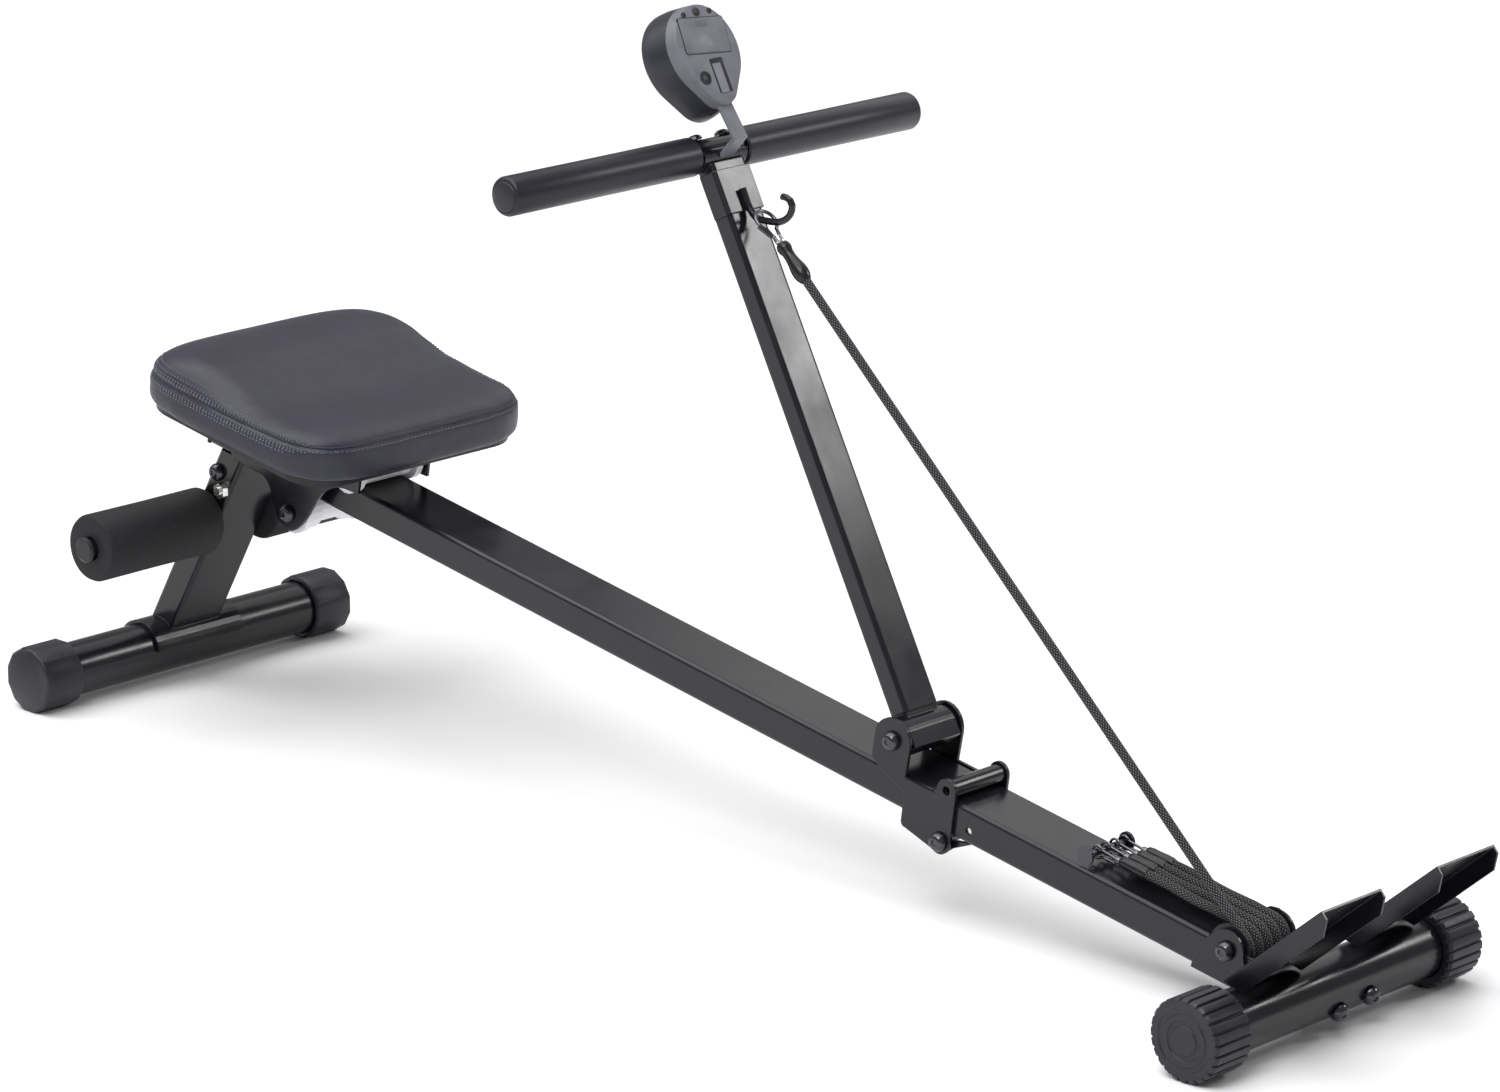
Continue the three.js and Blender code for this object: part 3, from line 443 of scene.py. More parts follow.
def bevelled(made, width, segments=2):
    modifier = made.modifiers.new("bevel", "BEVEL")
    modifier.width = width
    modifier.segments = segments
    modifier.limit_method = "ANGLE"
    modifier.angle_limit = math.radians(30)
    modifier.harden_normals = True
    return made


def dress(made, body, slot, *nodes):
    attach(made, body)
    if nodes:
        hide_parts(*nodes)
    return made


def apply_modifiers(made):
    bpy.context.view_layer.update()
    graph = bpy.context.evaluated_depsgraph_get()
    data = bpy.data.meshes.new_from_object(made.evaluated_get(graph))
    made.modifiers.clear()
    made.data = data


# ---------------------------------------------------------------- cords
def drum_point(y, angle):
    s = DRUM_S + CORD_BEND * math.cos(angle)
    h = DRUM_H + CORD_BEND * math.sin(angle)
    return RAIL @ Vector((s, y, h))


def inner_route(y, start_angle):
    steps = 26
    turn = -math.pi / 2 - start_angle
    route = [drum_point(y, start_angle + turn * i / steps) for i in range(steps + 1)]
    low = DRUM_H - CORD_BEND
    for s in (0.56, 0.5, 0.45, 0.40, CORD_PIN_S + 0.005):
        route.append(RAIL @ Vector((s, y, low)))
    return route


def pear_loop(radius, tip, count=28):
    """A closed wire route in the XY plane: round the origin, drawn out to a narrow end at x = tip."""
    route = []
    opening = math.radians(32)
    for i in range(count + 1):
        a = opening + (2 * math.pi - 2 * opening) * i / count
        route.append(Vector((radius * math.cos(a), radius * math.sin(a), 0)))
    for share in (0.35, 0.7, 1.0):
        y = -radius * math.sin(opening) * (1 - share) - 0.0016 * share
        route.append(Vector((radius * math.cos(opening) * (1 - share) + tip * share, y, 0)))
    for share in (1.0, 0.7, 0.35):
        y = radius * math.sin(opening) * (1 - share) + 0.0016 * share
        route.append(Vector((radius * math.cos(opening) * (1 - share) + tip * share, y, 0)))
    return route


SLEEVE = [(0, 0), (0.0030, 0), (0.0040, 0.0010), (0.0046, 0.0045), (0.0047, 0.0130), (0.0051, 0.0200),
          (0.0050, 0.0250), (0.0043, 0.0280), (0, 0.0280)]
LONG_SLEEVE = [(0, 0), (0.0034, 0), (0.0052, 0.0012), (0.0062, 0.0040), (0.0060, 0.0070), (0.0050, 0.0100),
               (0.0049, 0.0150), (0.0056, 0.0205), (0.0068, 0.0265), (0.0071, 0.0310), (0.0066, 0.0350),
               (0.0052, 0.0385), (0.0043, 0.0400), (0, 0.0400)]


def add_parked_cords():
    along_x = Matrix.Rotation(-math.pi / 2, 4, "Z")
    upright = Matrix.Rotation(math.pi / 2, 4, "X")
    top = DRUM_H + CORD_BEND
    for i, y in enumerate(STRANDS[1:], 1):
        lift = 0.0012 * math.sin(2.1 * i)
        start = ANCHOR_S + 0.051
        route = [RAIL @ Vector((start + 0.012 * k, y + lift * math.sin(k), top)) for k in range(8)]
        made = tube(f"parked_cord_{i}_sleeve", route + inner_route(y, math.pi / 2), 0.0039, CORD)
        dress(made, "front_section", "cord_cover", f"parked_cord_{i}")
        at = RAIL @ Matrix.Translation((ANCHOR_S + 0.0245, y, top)) @ along_x
        dress(lathe(f"parked_ferrule_{i}", SLEEVE, SLEEVE_RUBBER, at, 28), "front_section", "black_rubber")
        ring = pear_loop(0.0052, 0.027)
        hook = tube(f"parked_hook_{i}", ring, 0.0012, GUNMETAL, sides=10, closed=True, up=Vector((0, 0, 1)))
        place(hook, RAIL @ Matrix.Translation((ANCHOR_S, y, ANCHOR_H)) @ upright)
        dress(hook, "front_section", "zinc_steel")
        collar = [(0, 0.0195), (0.0028, 0.0195), (0.0031, 0.0205), (0.0031, 0.0235), (0.0026, 0.0250),
                  (0, 0.0250)]
        at = RAIL @ Matrix.Translation((ANCHOR_S, y, top - 0.001)) @ along_x
        dress(lathe(f"parked_collar_{i}", collar, GUNMETAL, at, 20), "front_section", "zinc_steel")


def add_working_cord():
    drum = RAIL @ Vector((DRUM_S, 0, DRUM_H))
    hook = POST @ Vector((HOOK_U, 0, HOOK_T))
    reach = hook - drum
    rise = math.atan2(reach.z, reach.x)
    tangent = rise - math.acos(CORD_BEND / math.hypot(reach.x, reach.z))
    offset = Vector((math.cos(tangent), 0, math.sin(tangent))) * CORD_BEND
    start = drum + offset + Vector((0, STRANDS[0], 0))
    along = hook - start
    length = along.length
    along.normalize()
    end = length - CORD_GAP

    lower = [start + along * (CORD_SPLIT * k / 6) for k in range(7)]
    made = tube("cord_lower_stretch", lower, CORD_R, CORD, up=Vector((0, 1, 0)))
    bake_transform(made)
    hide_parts("working_cord_lower")
    steps = 120
    upper = [start + along * (CORD_SPLIT + (end - CORD_SPLIT) * k / steps) for k in range(steps + 1)]
    made = tube("cord_upper_stretch", upper, CORD_R, CORD, up=Vector((0, 1, 0)))
    dress(made, "cord_upper", "cord_cover", "working_cord_upper")
    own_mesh(made)

    leave = tangent + RAIL_SLOPE
    foot_arc = math.radians(27)
    y = STRANDS[0]
    foot = [drum_point(y, leave - foot_arc * k / 12) for k in range(13)]
    made = tube("cord_foot_sleeve", foot, 0.0038, CORD)
    dress(made, "cord_lower", "cord_cover")
    made = tube("cord_inner_sleeve", inner_route(y, leave), 0.0039, CORD)
    dress(made, "front_section", "cord_cover", "working_cord_inner", "working_cord_foot")

    across = (Vector((0, 1, 0)) - along * along.y).normalized()
    axes = Matrix((along, across, along.cross(across))).transposed().to_4x4()
    at = Matrix.Translation(hook) @ axes
    back = Matrix.Rotation(math.pi / 2, 4, "Z")
    behind = at @ Matrix.Translation((-FERRULE_GAP, 0, 0)) @ back
    sleeve = lathe("snap_hook_ferrule", LONG_SLEEVE, SLEEVE_RUBBER, behind, 32)
    dress(sleeve, "cord_end", "black_rubber")
    turned = Matrix.Rotation(math.pi, 4, "Z")
    ring = pear_loop(0.0102, 0.026)
    loop = tube("snap_hook_loop", ring, 0.0016, GUNMETAL, sides=12, closed=True, up=Vector((0, 0, 1)))
    dress(place(loop, at @ turned), "cord_end", "zinc_steel", "working_snap_hook")
    gate = [Vector((0.004 + 0.003 * k, 0.0118 - 0.0016 * k, 0)) for k in range(5)]
    lever = tube("snap_hook_gate", gate, 0.0019, BOLT, sides=12, up=Vector((0, 0, 1)))
    dress(place(lever, at @ turned), "cord_end", "zinc_steel")
    collar = [(0, 0.017), (0.0032, 0.017), (0.0040, 0.0178), (0.0040, 0.0225), (0.0030, 0.0245), (0, 0.0245)]
    dress(lathe("snap_hook_collar", collar, ZINC, at @ back, 24), "cord_end", "zinc_steel")


# ---------------------------------------------------------------- bolt heads
def socket_shape(angle, radius, _):
    """Rounds every ring but the narrow ones, which are drawn as a hexagon."""
    if radius > 0.0031:
        return radius
    return radius * math.cos(math.pi / 6) / math.cos(angle % (math.pi / 3) - math.pi / 6)


def add_bolt_heads():
    r = HEAD_R + 0.0003
    head = [(0, -0.0003), (0.0026, -0.0003), (0.0029, -0.0014), (0.0050, -0.0013), (0.0064, -0.0004),
            (r - 0.0004, 0.0022), (r, 0.0040), (r, 0.0048), (0, 0.0048)]
    for name, body in HEADED_BOLTS:
        low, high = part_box(name)
        at = Matrix.Translation(((low.x + high.x) / 2, low.y, (low.z + high.z) / 2))
        made = lathe(f"{name}_head", head, BOLT, at, 36, radius_at=socket_shape)
        dress(made, body, "bolt_black")
    head_out = 0.0307  # from the floor tube's axis to the outside of a head
    for name, y, turn in (("lower", -0.0037, 32), ("upper", 0.033, 22)):
        at = FRONT_TUBE @ Matrix.Translation((0, y, 0)) @ Matrix.Rotation(math.radians(turn), 4, "Y")
        at = at @ Matrix.Translation((head_out, 0, 0)) @ Matrix.Rotation(math.pi / 2, 4, "Z")
        made = lathe(f"floor_tube_bolt_{name}_head", head, BOLT, at, 36, radius_at=socket_shape)
        dress(made, "front_section", "bolt_black")


# ---------------------------------------------------------------- seat
SEAT_LENGTH, SEAT_WIDTH = 0.266, 0.286
SEAT_BASE = 0.0372
CONTOUR = [(-0.130, 0.0820), (-0.112, 0.0875), (-0.090, 0.0915), (-0.065, 0.0940), (-0.040, 0.0930),
           (-0.015, 0.0880), (0.010, 0.0815), (0.035, 0.0780), (0.060, 0.0775), (0.085, 0.0790),
           (0.105, 0.0790), (0.130, 0.0765)]
SEAM = [(-0.130, 0.0670), (-0.060, 0.0675), (0.0, 0.0675), (0.070, 0.0690), (0.130, 0.0715)]


def value_at(table, x):
    """A smooth value from a table of (x, value) points."""
    if x <= table[0][0]:
        return table[0][1]
    for (x0, v0), (x1, v1) in zip(table, table[1:]):
        if x <= x1:
            t = (x - x0) / (x1 - x0)
            t = t * t * (3 - 2 * t) * 0.5 + t * 0.5
            return v0 + (v1 - v0) * t
    return table[-1][1]


def seat_outline(inset, count=160):
    """Points (x, y) round the seat, from above, with softly bowed sides."""
    half_x, half_y = SEAT_LENGTH / 2 - inset, SEAT_WIDTH / 2 - inset
    points = []
    power = 5.0
    for i in range(count):
        a = 2 * math.pi * i / count
        c, s = math.cos(a), math.sin(a)
        r = (abs(c) ** power + abs(s) ** power) ** (-1 / power)
        points.append((half_x * c * r, half_y * s * r))
    return points


def seat_height(x, y):
    """The top's height: raised at the back, dished in the middle, lower at the front."""
    dish = 0.0040 * math.exp(-((x - 0.035) / 0.07) ** 2) * math.exp(-(y / 0.075) ** 2)
    return value_at(CONTOUR, x) - 0.0015 - dish


def seat_form():
    """The stuffed form before it is blown up: recessed over its board, straight-sided, contoured on top."""
    under = [(0.0150, SEAT_BASE + 0.0052), (0.0125, SEAT_BASE + 0.0050), (0.0120, SEAT_BASE + 0.0008),
             (0.0095, SEAT_BASE), (0.0060, SEAT_BASE + 0.0012), (0.0034, SEAT_BASE + 0.0045),
             (0.0024, SEAT_BASE + 0.0110), (0.0024, SEAT_BASE + 0.0240)]
    over = [(0.0030, 0.0), (0.0048, 0.22), (0.0082, 0.46), (0.0135, 0.68), (0.0205, 0.84), (0.0300, 0.94),
            (0.0420, 0.985), (0.060, 1.0), (0.085, 1.0), (0.110, 1.0)]
    rings = [[(x, y, z) for x, y in seat_outline(inset)] for inset, z in under]
    for inset, share in over:
        ring = []
        for x, y in seat_outline(inset):
            seam = value_at(SEAM, x)
            ring.append((x, y, seam + (seat_height(x, y) - seam) * share))
        rings.append(ring)
    count = len(rings[0])
    vertices = [v for ring in rings for v in ring]
    faces = []
    for i in range(len(rings) - 1):
        for k in range(count):
            n = (k + 1) % count
            faces.append((i * count + k, i * count + n, (i + 1) * count + n, (i + 1) * count + k))
    faces.append(tuple(reversed(range(count))))
    faces.append(tuple(range((len(rings) - 1) * count, len(rings) * count)))
    return mesh_object("seat_cushion_cover", vertices, faces, LEATHER)


def puff(made, pressure, cap, held=0.006, fade=0.012):
    """Blows the form up as cloth. No point moves further than cap, and the underside stays in place."""
    rest = [v.co.copy() for v in made.data.vertices]
    cloth = made.modifiers.new("cloth", "CLOTH")
    cloth.settings.use_pressure = True
    cloth.settings.uniform_pressure_force = pressure
    cloth.settings.effector_weights.gravity = 0
    cloth.settings.tension_stiffness = 40
    cloth.settings.bending_stiffness = 12
    for number in range(1, 21):
        bpy.context.scene.frame_set(number)
    apply_modifiers(made)
    bpy.context.scene.frame_set(1)
    for vertex, start in zip(made.data.vertices, rest):
        move = vertex.co - start
        if move.length > cap:
            move *= cap / move.length
        vertex.co = start + move * min(1.0, max(0.0, (start.z - SEAT_BASE - held) / fade))


def on_surface(tree, x, y, z):
    """The point of the surface that is met from outside, level, towards the middle."""
    out = Vector((x, y, 0)).normalized()
    start = Vector((x, y, z)) + out * 0.05
    hit, normal, _, _ = tree.ray_cast(start, -out)
    return (hit, normal) if hit else (Vector((x, y, z)), out)


def surface_tree(made):
    return BVHTree.FromPolygons([v.co for v in made.data.vertices], [p.vertices for p in made.data.polygons])


def press_seam(made, route, width, depth):
    """Draws the cover in along a seam."""
    count = len(route)
    raised = [p + Vector((0, 0, 1e-4)) for p in route]
    strip = BVHTree.FromPolygons([*route, *raised], [(i, (i + 1) % count, count + i) for i in range(count)])
    normals = [v.normal.copy() for v in made.data.vertices]
    for vertex, normal in zip(made.data.vertices, normals):
        _, _, _, distance = strip.find_nearest(vertex.co, width)
        if distance is not None:
            vertex.co -= normal * depth * (1 - distance / width) ** 2


def stitch_mesh(name, places, half, wide, high):
    """Short stitches in one mesh, each at a (position, direction, normal). Half is half a stitch's length."""
    vertices, faces = [], []
    for position, ahead, normal in places:
        side = ahead.cross(normal).normalized()
        first = len(vertices)
        vertices.append(position - ahead * half - normal * high * 0.5)
        for share in (-0.5, 0.5):
            centre = position + ahead * half * share
            for a, b in ((1, 0), (0, 1), (-1, 0), (0, -0.6)):
                vertices.append(centre + side * wide * a + normal * high * b)
        vertices.append(position + ahead * half - normal * high * 0.5)
        near = [first + 1 + k for k in range(4)]
        far = [first + 5 + k for k in range(4)]
        for k in range(4):
            n = (k + 1) % 4
            faces.append((first, near[n], near[k]))
            faces.append((near[k], near[n], far[n], far[k]))
            faces.append((far[k], far[n], first + 9))
    return mesh_object(name, vertices, faces, THREAD)


def seam_places(tree, rise, spacing, keep, stagger=0.0):
    """Evenly spaced places beside the seam; rise is measured over the cover, up from the seam."""
    outline = seat_outline(0.0, 1600)
    places = []
    run = stagger
    for (x0, y0), (x1, y1) in zip(outline, outline[1:] + outline[:1]):
        run += math.hypot(x1 - x0, y1 - y0)
        if run < spacing or not keep(x0, y0):
            continue
        run -= spacing
        run = min(run, spacing)
        out = Vector((x0, y0, 0)).normalized()
        swell = rise * min(1.0, max(0.0, rise / 0.02))
        probe = Vector((x0, y0, value_at(SEAM, x0) + rise)) - out * swell
        hit, normal, _, _ = tree.find_nearest(probe)
        ahead = Vector((x1 - x0, y1 - y0, 0)).normalized()
        ahead = (ahead - normal * ahead.dot(normal)).normalized()
        places.append((hit + normal * 0.00012, ahead, normal))
    return places


def stitched_edge(x, y, reach):
    """The stretch of the cover's sides that has rows of stitching: both long sides, and round to the rear."""
    return abs(y) > 0.088 and -0.122 < x < reach


def add_seat():
    made = seat_form()
    remesh = made.modifiers.new("remesh", "REMESH")
    remesh.mode = "VOXEL"
    remesh.voxel_size = 0.0045
    apply_modifiers(made)
    puff(made, pressure=4.0, cap=0.0030)
    smooth = made.modifiers.new("smooth", "SMOOTH")
    smooth.iterations = 14
    smooth.factor = 0.5
    fine = made.modifiers.new("fine", "SUBSURF")
    fine.levels = 1
    fine.render_levels = 1
    apply_modifiers(made)
    made.data.materials.clear()
    made.data.materials.append(LEATHER)
    made.data.shade_smooth()

    tree = surface_tree(made)
    route = [on_surface(tree, x, y, value_at(SEAM, x))[0] for x, y in seat_outline(0.0, 400)]
    press_seam(made, route, width=0.0060, depth=0.0020)
    tree = surface_tree(made)
    welt_route = []
    for x, y in seat_outline(0.0, 320):
        hit, normal = on_surface(tree, x, y, value_at(SEAM, x))
        welt_route.append(hit + normal * 0.0001)
    welt = tube("seat_seam", welt_route, 0.0008, LEATHER, sides=8, closed=True, up=Vector((0, 0, 1)))
    edge = seam_places(tree, rise=0.0026, spacing=0.0044, keep=lambda x, y: not stitched_edge(x, y, 0.10))
    edge_stitches = stitch_mesh("seat_edge_stitches", edge, half=0.0015, wide=0.0004, high=0.0003)
    rows = []
    for row, rise in enumerate((-0.0078, -0.0050, -0.0022, 0.0022, 0.0050, 0.0080, 0.0112, 0.0146)):
        reach = 0.116 - 0.010 * abs(row - 3)
        rows += seam_places(tree, rise, spacing=0.0040, keep=lambda x, y, r=reach: stitched_edge(x, y, r),
                            stagger=0.0020 * (row % 2))
    band = stitch_mesh("seat_band_stitches", rows, half=0.0013, wide=0.00065, high=0.0006)
    for piece in (made, welt, edge_stitches, band):
        place(piece, CARRIAGE)
    dress(made, "seat", "seat_leather", "seat_cushion")
    for piece in (welt, edge_stitches, band):
        dress(piece, "seat", "seat_leather")


# ---------------------------------------------------------------- rollers, grips, tubes and feet
def add_foam_rollers():
    inner, outer, r = 0.0315, 0.166, 0.031
    bore = 0.0103
    profile = [(bore, inner + 0.001), (bore + 0.001, inner), (r - 0.004, inner), (r - 0.0015, inner + 0.001),
               (r, inner + 0.004), (r - 0.0003, (inner + outer) / 2), (r, outer - 0.004),
               (r - 0.0015, outer - 0.001), (r - 0.004, outer), (bore + 0.001, outer), (bore, outer - 0.001)]
    for side, sign in SIDES:
        made = lathe(f"foam_sleeve_{side}", profile, ROLLER_FOAM, FOAM_AXIS @ mirrored_y(sign), 72)
        dress(made, f"foam_{side}", "roller_foam", f"foam_roller_{side}")


def add_grips():
    inner, end, r, bore = 0.027, 0.2396, 0.0164, 0.0130
    sleeve = [(bore, inner + 0.0008), (bore + 0.0008, inner), (r - 0.0014, inner), (r, inner + 0.0016),
              (r - 0.0002, (inner + end) / 2), (r, end - 0.0042), (r - 0.0008, end - 0.0022),
              (r - 0.0022, end - 0.0012), (bore, end - 0.0012)]
    plug = [(0, end), (0.0108, end), (0.0122, end - 0.0005), (0.0129, end - 0.0016), (0.0129, end - 0.006),
            (0, end - 0.006)]
    for side, sign in SIDES:
        at = HANDLE @ mirrored_y(sign)
        made = lathe(f"grip_sleeve_{side}", sleeve, GRIP_FOAM, at, 64)
        dress(made, "post", "grip_foam", f"grip_{side}")
        dress(lathe(f"grip_plug_{side}", plug[::-1], CAP, at, 48), "post", "black_plastic")


def add_floor_tubes():
    def hollow(half, r=0.025, wall=0.0015):
        return [(r - wall, -half), (r, -half), (r, half), (r - wall, half)]

    rear = lathe("rear_tube_smooth", hollow(0.182), PAINT, REAR_TUBE, 96)
    dress(rear, "frame", "frame_paint", "rear_floor_tube")
    front = lathe("front_tube_smooth", hollow(0.161), PAINT, FRONT_TUBE, 96)
    dress(front, "front_section", "frame_paint", "front_floor_tube")
    bar = lathe("foam_bar_smooth", hollow(0.170, 0.0095), PAINT, FOAM_AXIS, 48)
    dress(bar, "frame", "frame_paint", "foam_bar")


def add_rear_caps():
    corner = 0.030 / math.cos(math.pi / 12)
    for side, sign in SIDES:
        made = polygon_cap(f"rear_cap_{side}_shell", corner, bore=0.0254, end=0.1855, length=0.043)
        place(made, REAR_TUBE @ mirrored_y(sign) @ Matrix.Rotation(math.radians(15), 4, "Y"))
        dress(made, "frame", "black_plastic", f"rear_cap_{side}")


def polygon_cap(name, corner, bore, end, length, sides=12):
    """A cup with flat facets, bevelled all over."""
    data = bmesh.new()

    def ring_at(r, y):
        turns = [2 * math.pi * i / sides for i in range(sides)]
        return [data.verts.new((r * math.sin(t), y, r * math.cos(t))) for t in turns]

    outer = [ring_at(corner, end - length), ring_at(corner, end)]
    inner = [ring_at(bore, end - length), ring_at(bore, end - 0.003)]
    for i in range(sides):
        n = (i + 1) % sides
        data.faces.new((outer[0][i], outer[0][n], outer[1][n], outer[1][i]))
        data.faces.new((inner[0][n], inner[0][i], inner[1][i], inner[1][n]))
        data.faces.new((inner[0][i], inner[0][n], outer[0][n], outer[0][i]))
    data.faces.new(outer[1])
    data.faces.new(list(reversed(inner[1])))
    bmesh.ops.recalc_face_normals(data, faces=data.faces)
    mesh = bpy.data.meshes.new(name)
    data.to_mesh(mesh)
    data.free()
    mesh.materials.append(CAP)
    made = bpy.data.objects.new(name, mesh)
    bpy.context.scene.collection.objects.link(made)
    bevelled(made, 0.0028, 4)
    apply_modifiers(made)
    made.data.shade_smooth()
    made.data.set_sharp_from_angle(angle=math.radians(50))
    return made


def add_wheels():
    end, length, r, bore, ridges = 0.1654, 0.042, 0.034, 0.0258, 24
    face = [(bore, end - length), (r - 0.0022, end - length), (r, end - length + 0.0022), (r, end - 0.0022),
            (r - 0.0022, end), (0.0255, end), (0.0245, end - 0.0008), (0.0215, end - 0.0008),
            (0.0205, end), (0.0165, end), (0.0155, end - 0.0009), (0.0125, end - 0.0009),
            (0.0115, end), (0, end)]
    profile = face + [(0, end - 0.003), (bore, end - 0.003)]

    def ridge(angle, radius, y):
        if radius < r - 0.0023:
            return radius
        phase = (angle * ridges / (2 * math.pi)) % 1.0
        gap = abs(phase - 0.5) * 2
        depth = 0.0020 * min(1.0, max(0.0, (0.34 - gap) / 0.12))
        return radius - depth * (0.6 if y > end - 0.001 else 1.0)

    for side, sign in SIDES:
        made = lathe(f"front_wheel_{side}_tyre", profile, CAP, segments=ridges * 12, radius_at=ridge)
        fix = bmesh.new()
        fix.from_mesh(made.data)
        bmesh.ops.remove_doubles(fix, verts=fix.verts, dist=1e-7)
        fix.to_mesh(made.data)
        fix.free()
        place(made, FRONT_TUBE @ mirrored_y(sign))
        dress(made, f"wheel_{side}", "black_plastic", f"front_wheel_{side}")


# ---------------------------------------------------------------- monitor
def pear(inset, count=96):
    """The monitor's outline. An inset draws in the sides about twice as much as the ends."""
    big_r, big_z, small_r, small_z = 0.0425, 0.0055, 0.0235, -0.0245
    lean = math.asin((big_r - small_r) / (big_z - small_z))
    points = []
    upper = int(count * 0.64)
    for i in range(upper):
        a = -lean + (math.pi + 2 * lean) * i / (upper - 1)
        points.append((big_r * math.cos(a), big_z + big_r * math.sin(a)))
    lower = count - upper
    for i in range(lower):
        a = math.pi + lean + (math.pi - 2 * lean) * i / (lower - 1)
        points.append((small_r * math.cos(a), small_z + small_r * math.sin(a)))
    return [(y * (1 - 23.5 * inset), z * (1 - 11 * inset)) for y, z in points]


def rounded_rect(half_y, half_z, corner, count=6):
    def outline(inset):
        points = []
        y, z, r = half_y - inset, half_z - inset, max(1e-4, corner - inset)
        centres = ((y - r, z - r), (-y + r, z - r), (-y + r, -z + r), (y - r, -z + r))
        for quarter, (cy, cz) in enumerate(centres):
            for k in range(count + 1):
                a = math.pi / 2 * (quarter + k / count)
                points.append((cy + r * math.cos(a), cz + r * math.sin(a)))
        return points
    return outline


def add_monitor():
    half = 0.019
    split = half - 0.010
    cover = slab("monitor_cover_shell", pear,
                 [(0.0050, split + 0.0003), (0.0076, half - 0.0030), (0.0080, half - 0.0014),
                  (0.0086, half - 0.0004), (0.0096, half)], COVER, MONITOR)
    dress(cover, "post", "monitor_plastic", "monitor_rear_cover")
    # The hood shell wears the darker copy of the cover plastic: painted shade.
    hood = slab("monitor_hood_shell", pear,
                [(0.0042, -half), (0.0020, -half + 0.0006), (0.0006, -half + 0.0020), (0, -half + 0.0040),
                 (0.0006, -half + 0.0130), (0.0050, split)], SHADED_HOUSING, MONITOR)
    dress(hood, "post", "monitor_plastic", "monitor_housing", "monitor_lens", "monitor_board")
    glass = slab("monitor_glass", rounded_rect(0.0245, 0.0136, 0.003),
                 [(0, -half - 0.0003), (0, -half + 0.001)], LENS,
                 MONITOR @ Matrix.Translation((0, 0, 0.010)))
    dress(glass, "post", "monitor_plastic")
    turn = Matrix.Rotation(math.radians(-5), 4, "X")
    door_at = MONITOR @ Matrix.Translation((0, 0, 0.0165)) @ turn
    # A dark plate just larger than the battery door, under it: its rim is painted shade in the gap round the door.
    well = slab("battery_gap_shade", rounded_rect(0.0258, 0.0160, 0.002),
                [(0, half - 0.001), (0, half + 0.0002), (0.0005, half + 0.0003)], BLACK_PLASTIC, door_at)
    dress(well, "post", "monitor_plastic")
    door = slab("battery_door_panel", rounded_rect(0.0250, 0.0152, 0.0018),
                [(0, half - 0.001), (0, half + 0.0006), (0.0006, half + 0.0010)], COVER, door_at)
    dress(door, "post", "monitor_plastic", "battery_door")
    for k in range(4):
        at = door_at @ Matrix.Translation((0, 0.0045 - 0.003 * k, 0.0105))
        rib = slab(f"door_rib_{k}", rounded_rect(0.0007, 0.0028, 0.0006),
                   [(0, half), (0, half + 0.0013), (0.0004, half + 0.0017)], COVER, at)
        dress(rib, "post", "monitor_plastic")
    spin = Matrix.Rotation(-math.pi / 2, 4, "Z")
    # Dark dishes at the screws: painted shade in the screw holes.
    for k, (y, z) in enumerate(((-0.0150, 0.0362), (0.0150, 0.0362), (0.0, 0.0372))):
        at = MONITOR @ Matrix.Translation((0, y, z)) @ spin
        size = 0.0040 if k == 2 else 0.0026
        rim = [(0, half - 0.001), (size, half - 0.001), (size, half + 0.0003), (size * 0.72, half + 0.0003),
               (size * 0.55, half + 0.00005), (0, half + 0.00005)]
        dress(lathe(f"screw_hole_shade_{k}", rim, BLACK_PLASTIC, at, 32), "post", "black_plastic")
    jack = [(0, half - 0.001), (0.0060, half - 0.001), (0.0060, half + 0.0003), (0.0054, half + 0.0004),
            (0.0050, half + 0.0001), (0, half + 0.0001)]
    at = MONITOR @ Matrix.Translation((0, -0.0150, -0.0190)) @ spin
    dress(lathe("sensor_jack", jack, BLACK_PLASTIC, at, 36), "post", "black_plastic")
    # A dark plate in the bracket slot: painted shade in the recess, round the lighter tongue.
    slot = slab("bracket_slot_shade", rounded_rect(0.0072, 0.0150, 0.0008),
                [(0, half - 0.001), (0, half + 0.0003), (0.0003, half + 0.0005)], BLACK_PLASTIC,
                MONITOR @ Matrix.Translation((0, 0.0030, -0.0190)))
    dress(slot, "post", "monitor_plastic")
    tongue = slab("bracket_tongue", rounded_rect(0.0046, 0.0128, 0.0005),
                  [(0, half - 0.001), (0, half + 0.0010), (0.0003, half + 0.0013)], COVER,
                  MONITOR @ Matrix.Translation((0, 0.0012, -0.0212)))
    dress(tongue, "post", "monitor_plastic")


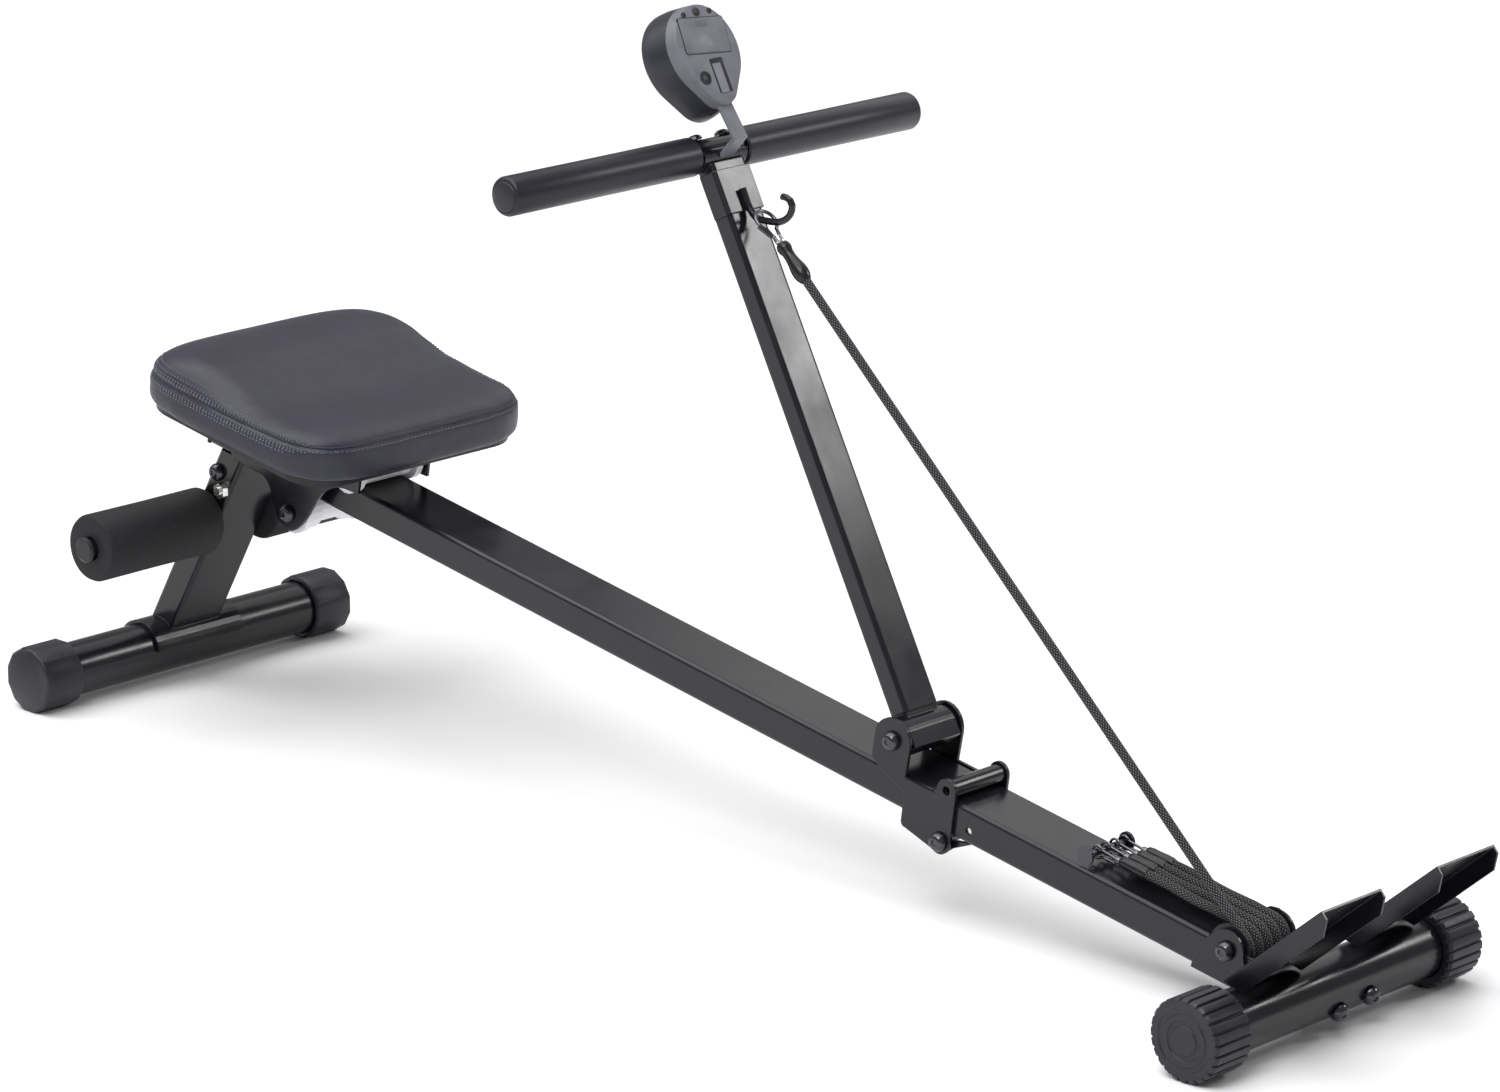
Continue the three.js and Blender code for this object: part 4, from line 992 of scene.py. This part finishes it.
def add_monitor_bracket():
    """The moulded strip that holds the monitor, over the flat bar welded to the post."""
    edge = [(0.0134, 0.4993), (0.0363, 0.5082), (0.0309, 0.5452), (0.0283, 0.5452), (0.0333, 0.5104),
            (0.0132, 0.5030)]
    vertices = [(x, side * 0.0079, z) for side in (-1, 1) for x, z in edge]
    count = len(edge)
    faces = [tuple(range(count)), tuple(reversed(range(count, 2 * count)))]
    faces += [(k, k + count, (k + 1) % count + count, (k + 1) % count) for k in range(count)]
    made = mesh_object("monitor_bracket", vertices, faces, COVER, False)
    bevelled(made, 0.0004)
    apply_modifiers(made)
    dress(place(made, POST), "post", "monitor_plastic")


# ---------------------------------------------------------------- studio
def add_studio():
    floor_material = new_material("floor", (0.86, 0.86, 0.87), 0.55)
    vary_roughness(floor_material, noise(floor_material, 3.0), 0.5, 0.6)
    floor = mesh_object("floor", [(-30, -30, 0), (30, -30, 0), (30, 30, 0), (-30, 30, 0)], [(0, 1, 2, 3)],
                        floor_material, False)
    world = bpy.data.worlds.new("studio")
    world.use_nodes = True
    background = world.node_tree.nodes["Background"]
    background.inputs["Color"].default_value = (1, 1, 1, 1)
    background.inputs["Strength"].default_value = 0.34
    bpy.context.scene.world = world
    bpy.context.scene.view_settings.view_transform = "Standard"
    sun = bpy.data.lights.new("overhead", "SUN")
    sun.energy = 2.75
    sun.angle = math.radians(70)
    above = bpy.data.objects.new("overhead", sun)
    above.rotation_euler = (math.radians(12), math.radians(-10), 0)
    bpy.context.scene.collection.objects.link(above)
    for name, place_at, size, power in (
        ("key", (1.2, -2.4, 3.4), 1.8, 60),
        ("fill", (-3.0, -1.5, 2.6), 2.5, 25),
        ("rim", (-1.0, 3.2, 3.0), 3.0, 22),
        ("post_shine", (2.05, 2.45, 2.05), 0.7, 22),
    ):
        data = bpy.data.lights.new(name, "AREA")
        data.size = size
        data.energy = power
        lamp = bpy.data.objects.new(name, data)
        lamp.location = place_at
        aim = Vector((0, 0, 0.25)) - Vector(place_at)
        lamp.rotation_euler = aim.to_track_quat("-Z", "Y").to_euler()
        bpy.context.scene.collection.objects.link(lamp)


add_camera()
add_parked_cords()
add_working_cord()
paint_cad_nodes()
add_bolt_heads()
add_seat()
add_foam_rollers()
add_grips()
add_floor_tubes()
add_rear_caps()
add_wheels()
add_monitor()
add_monitor_bracket()
add_studio()
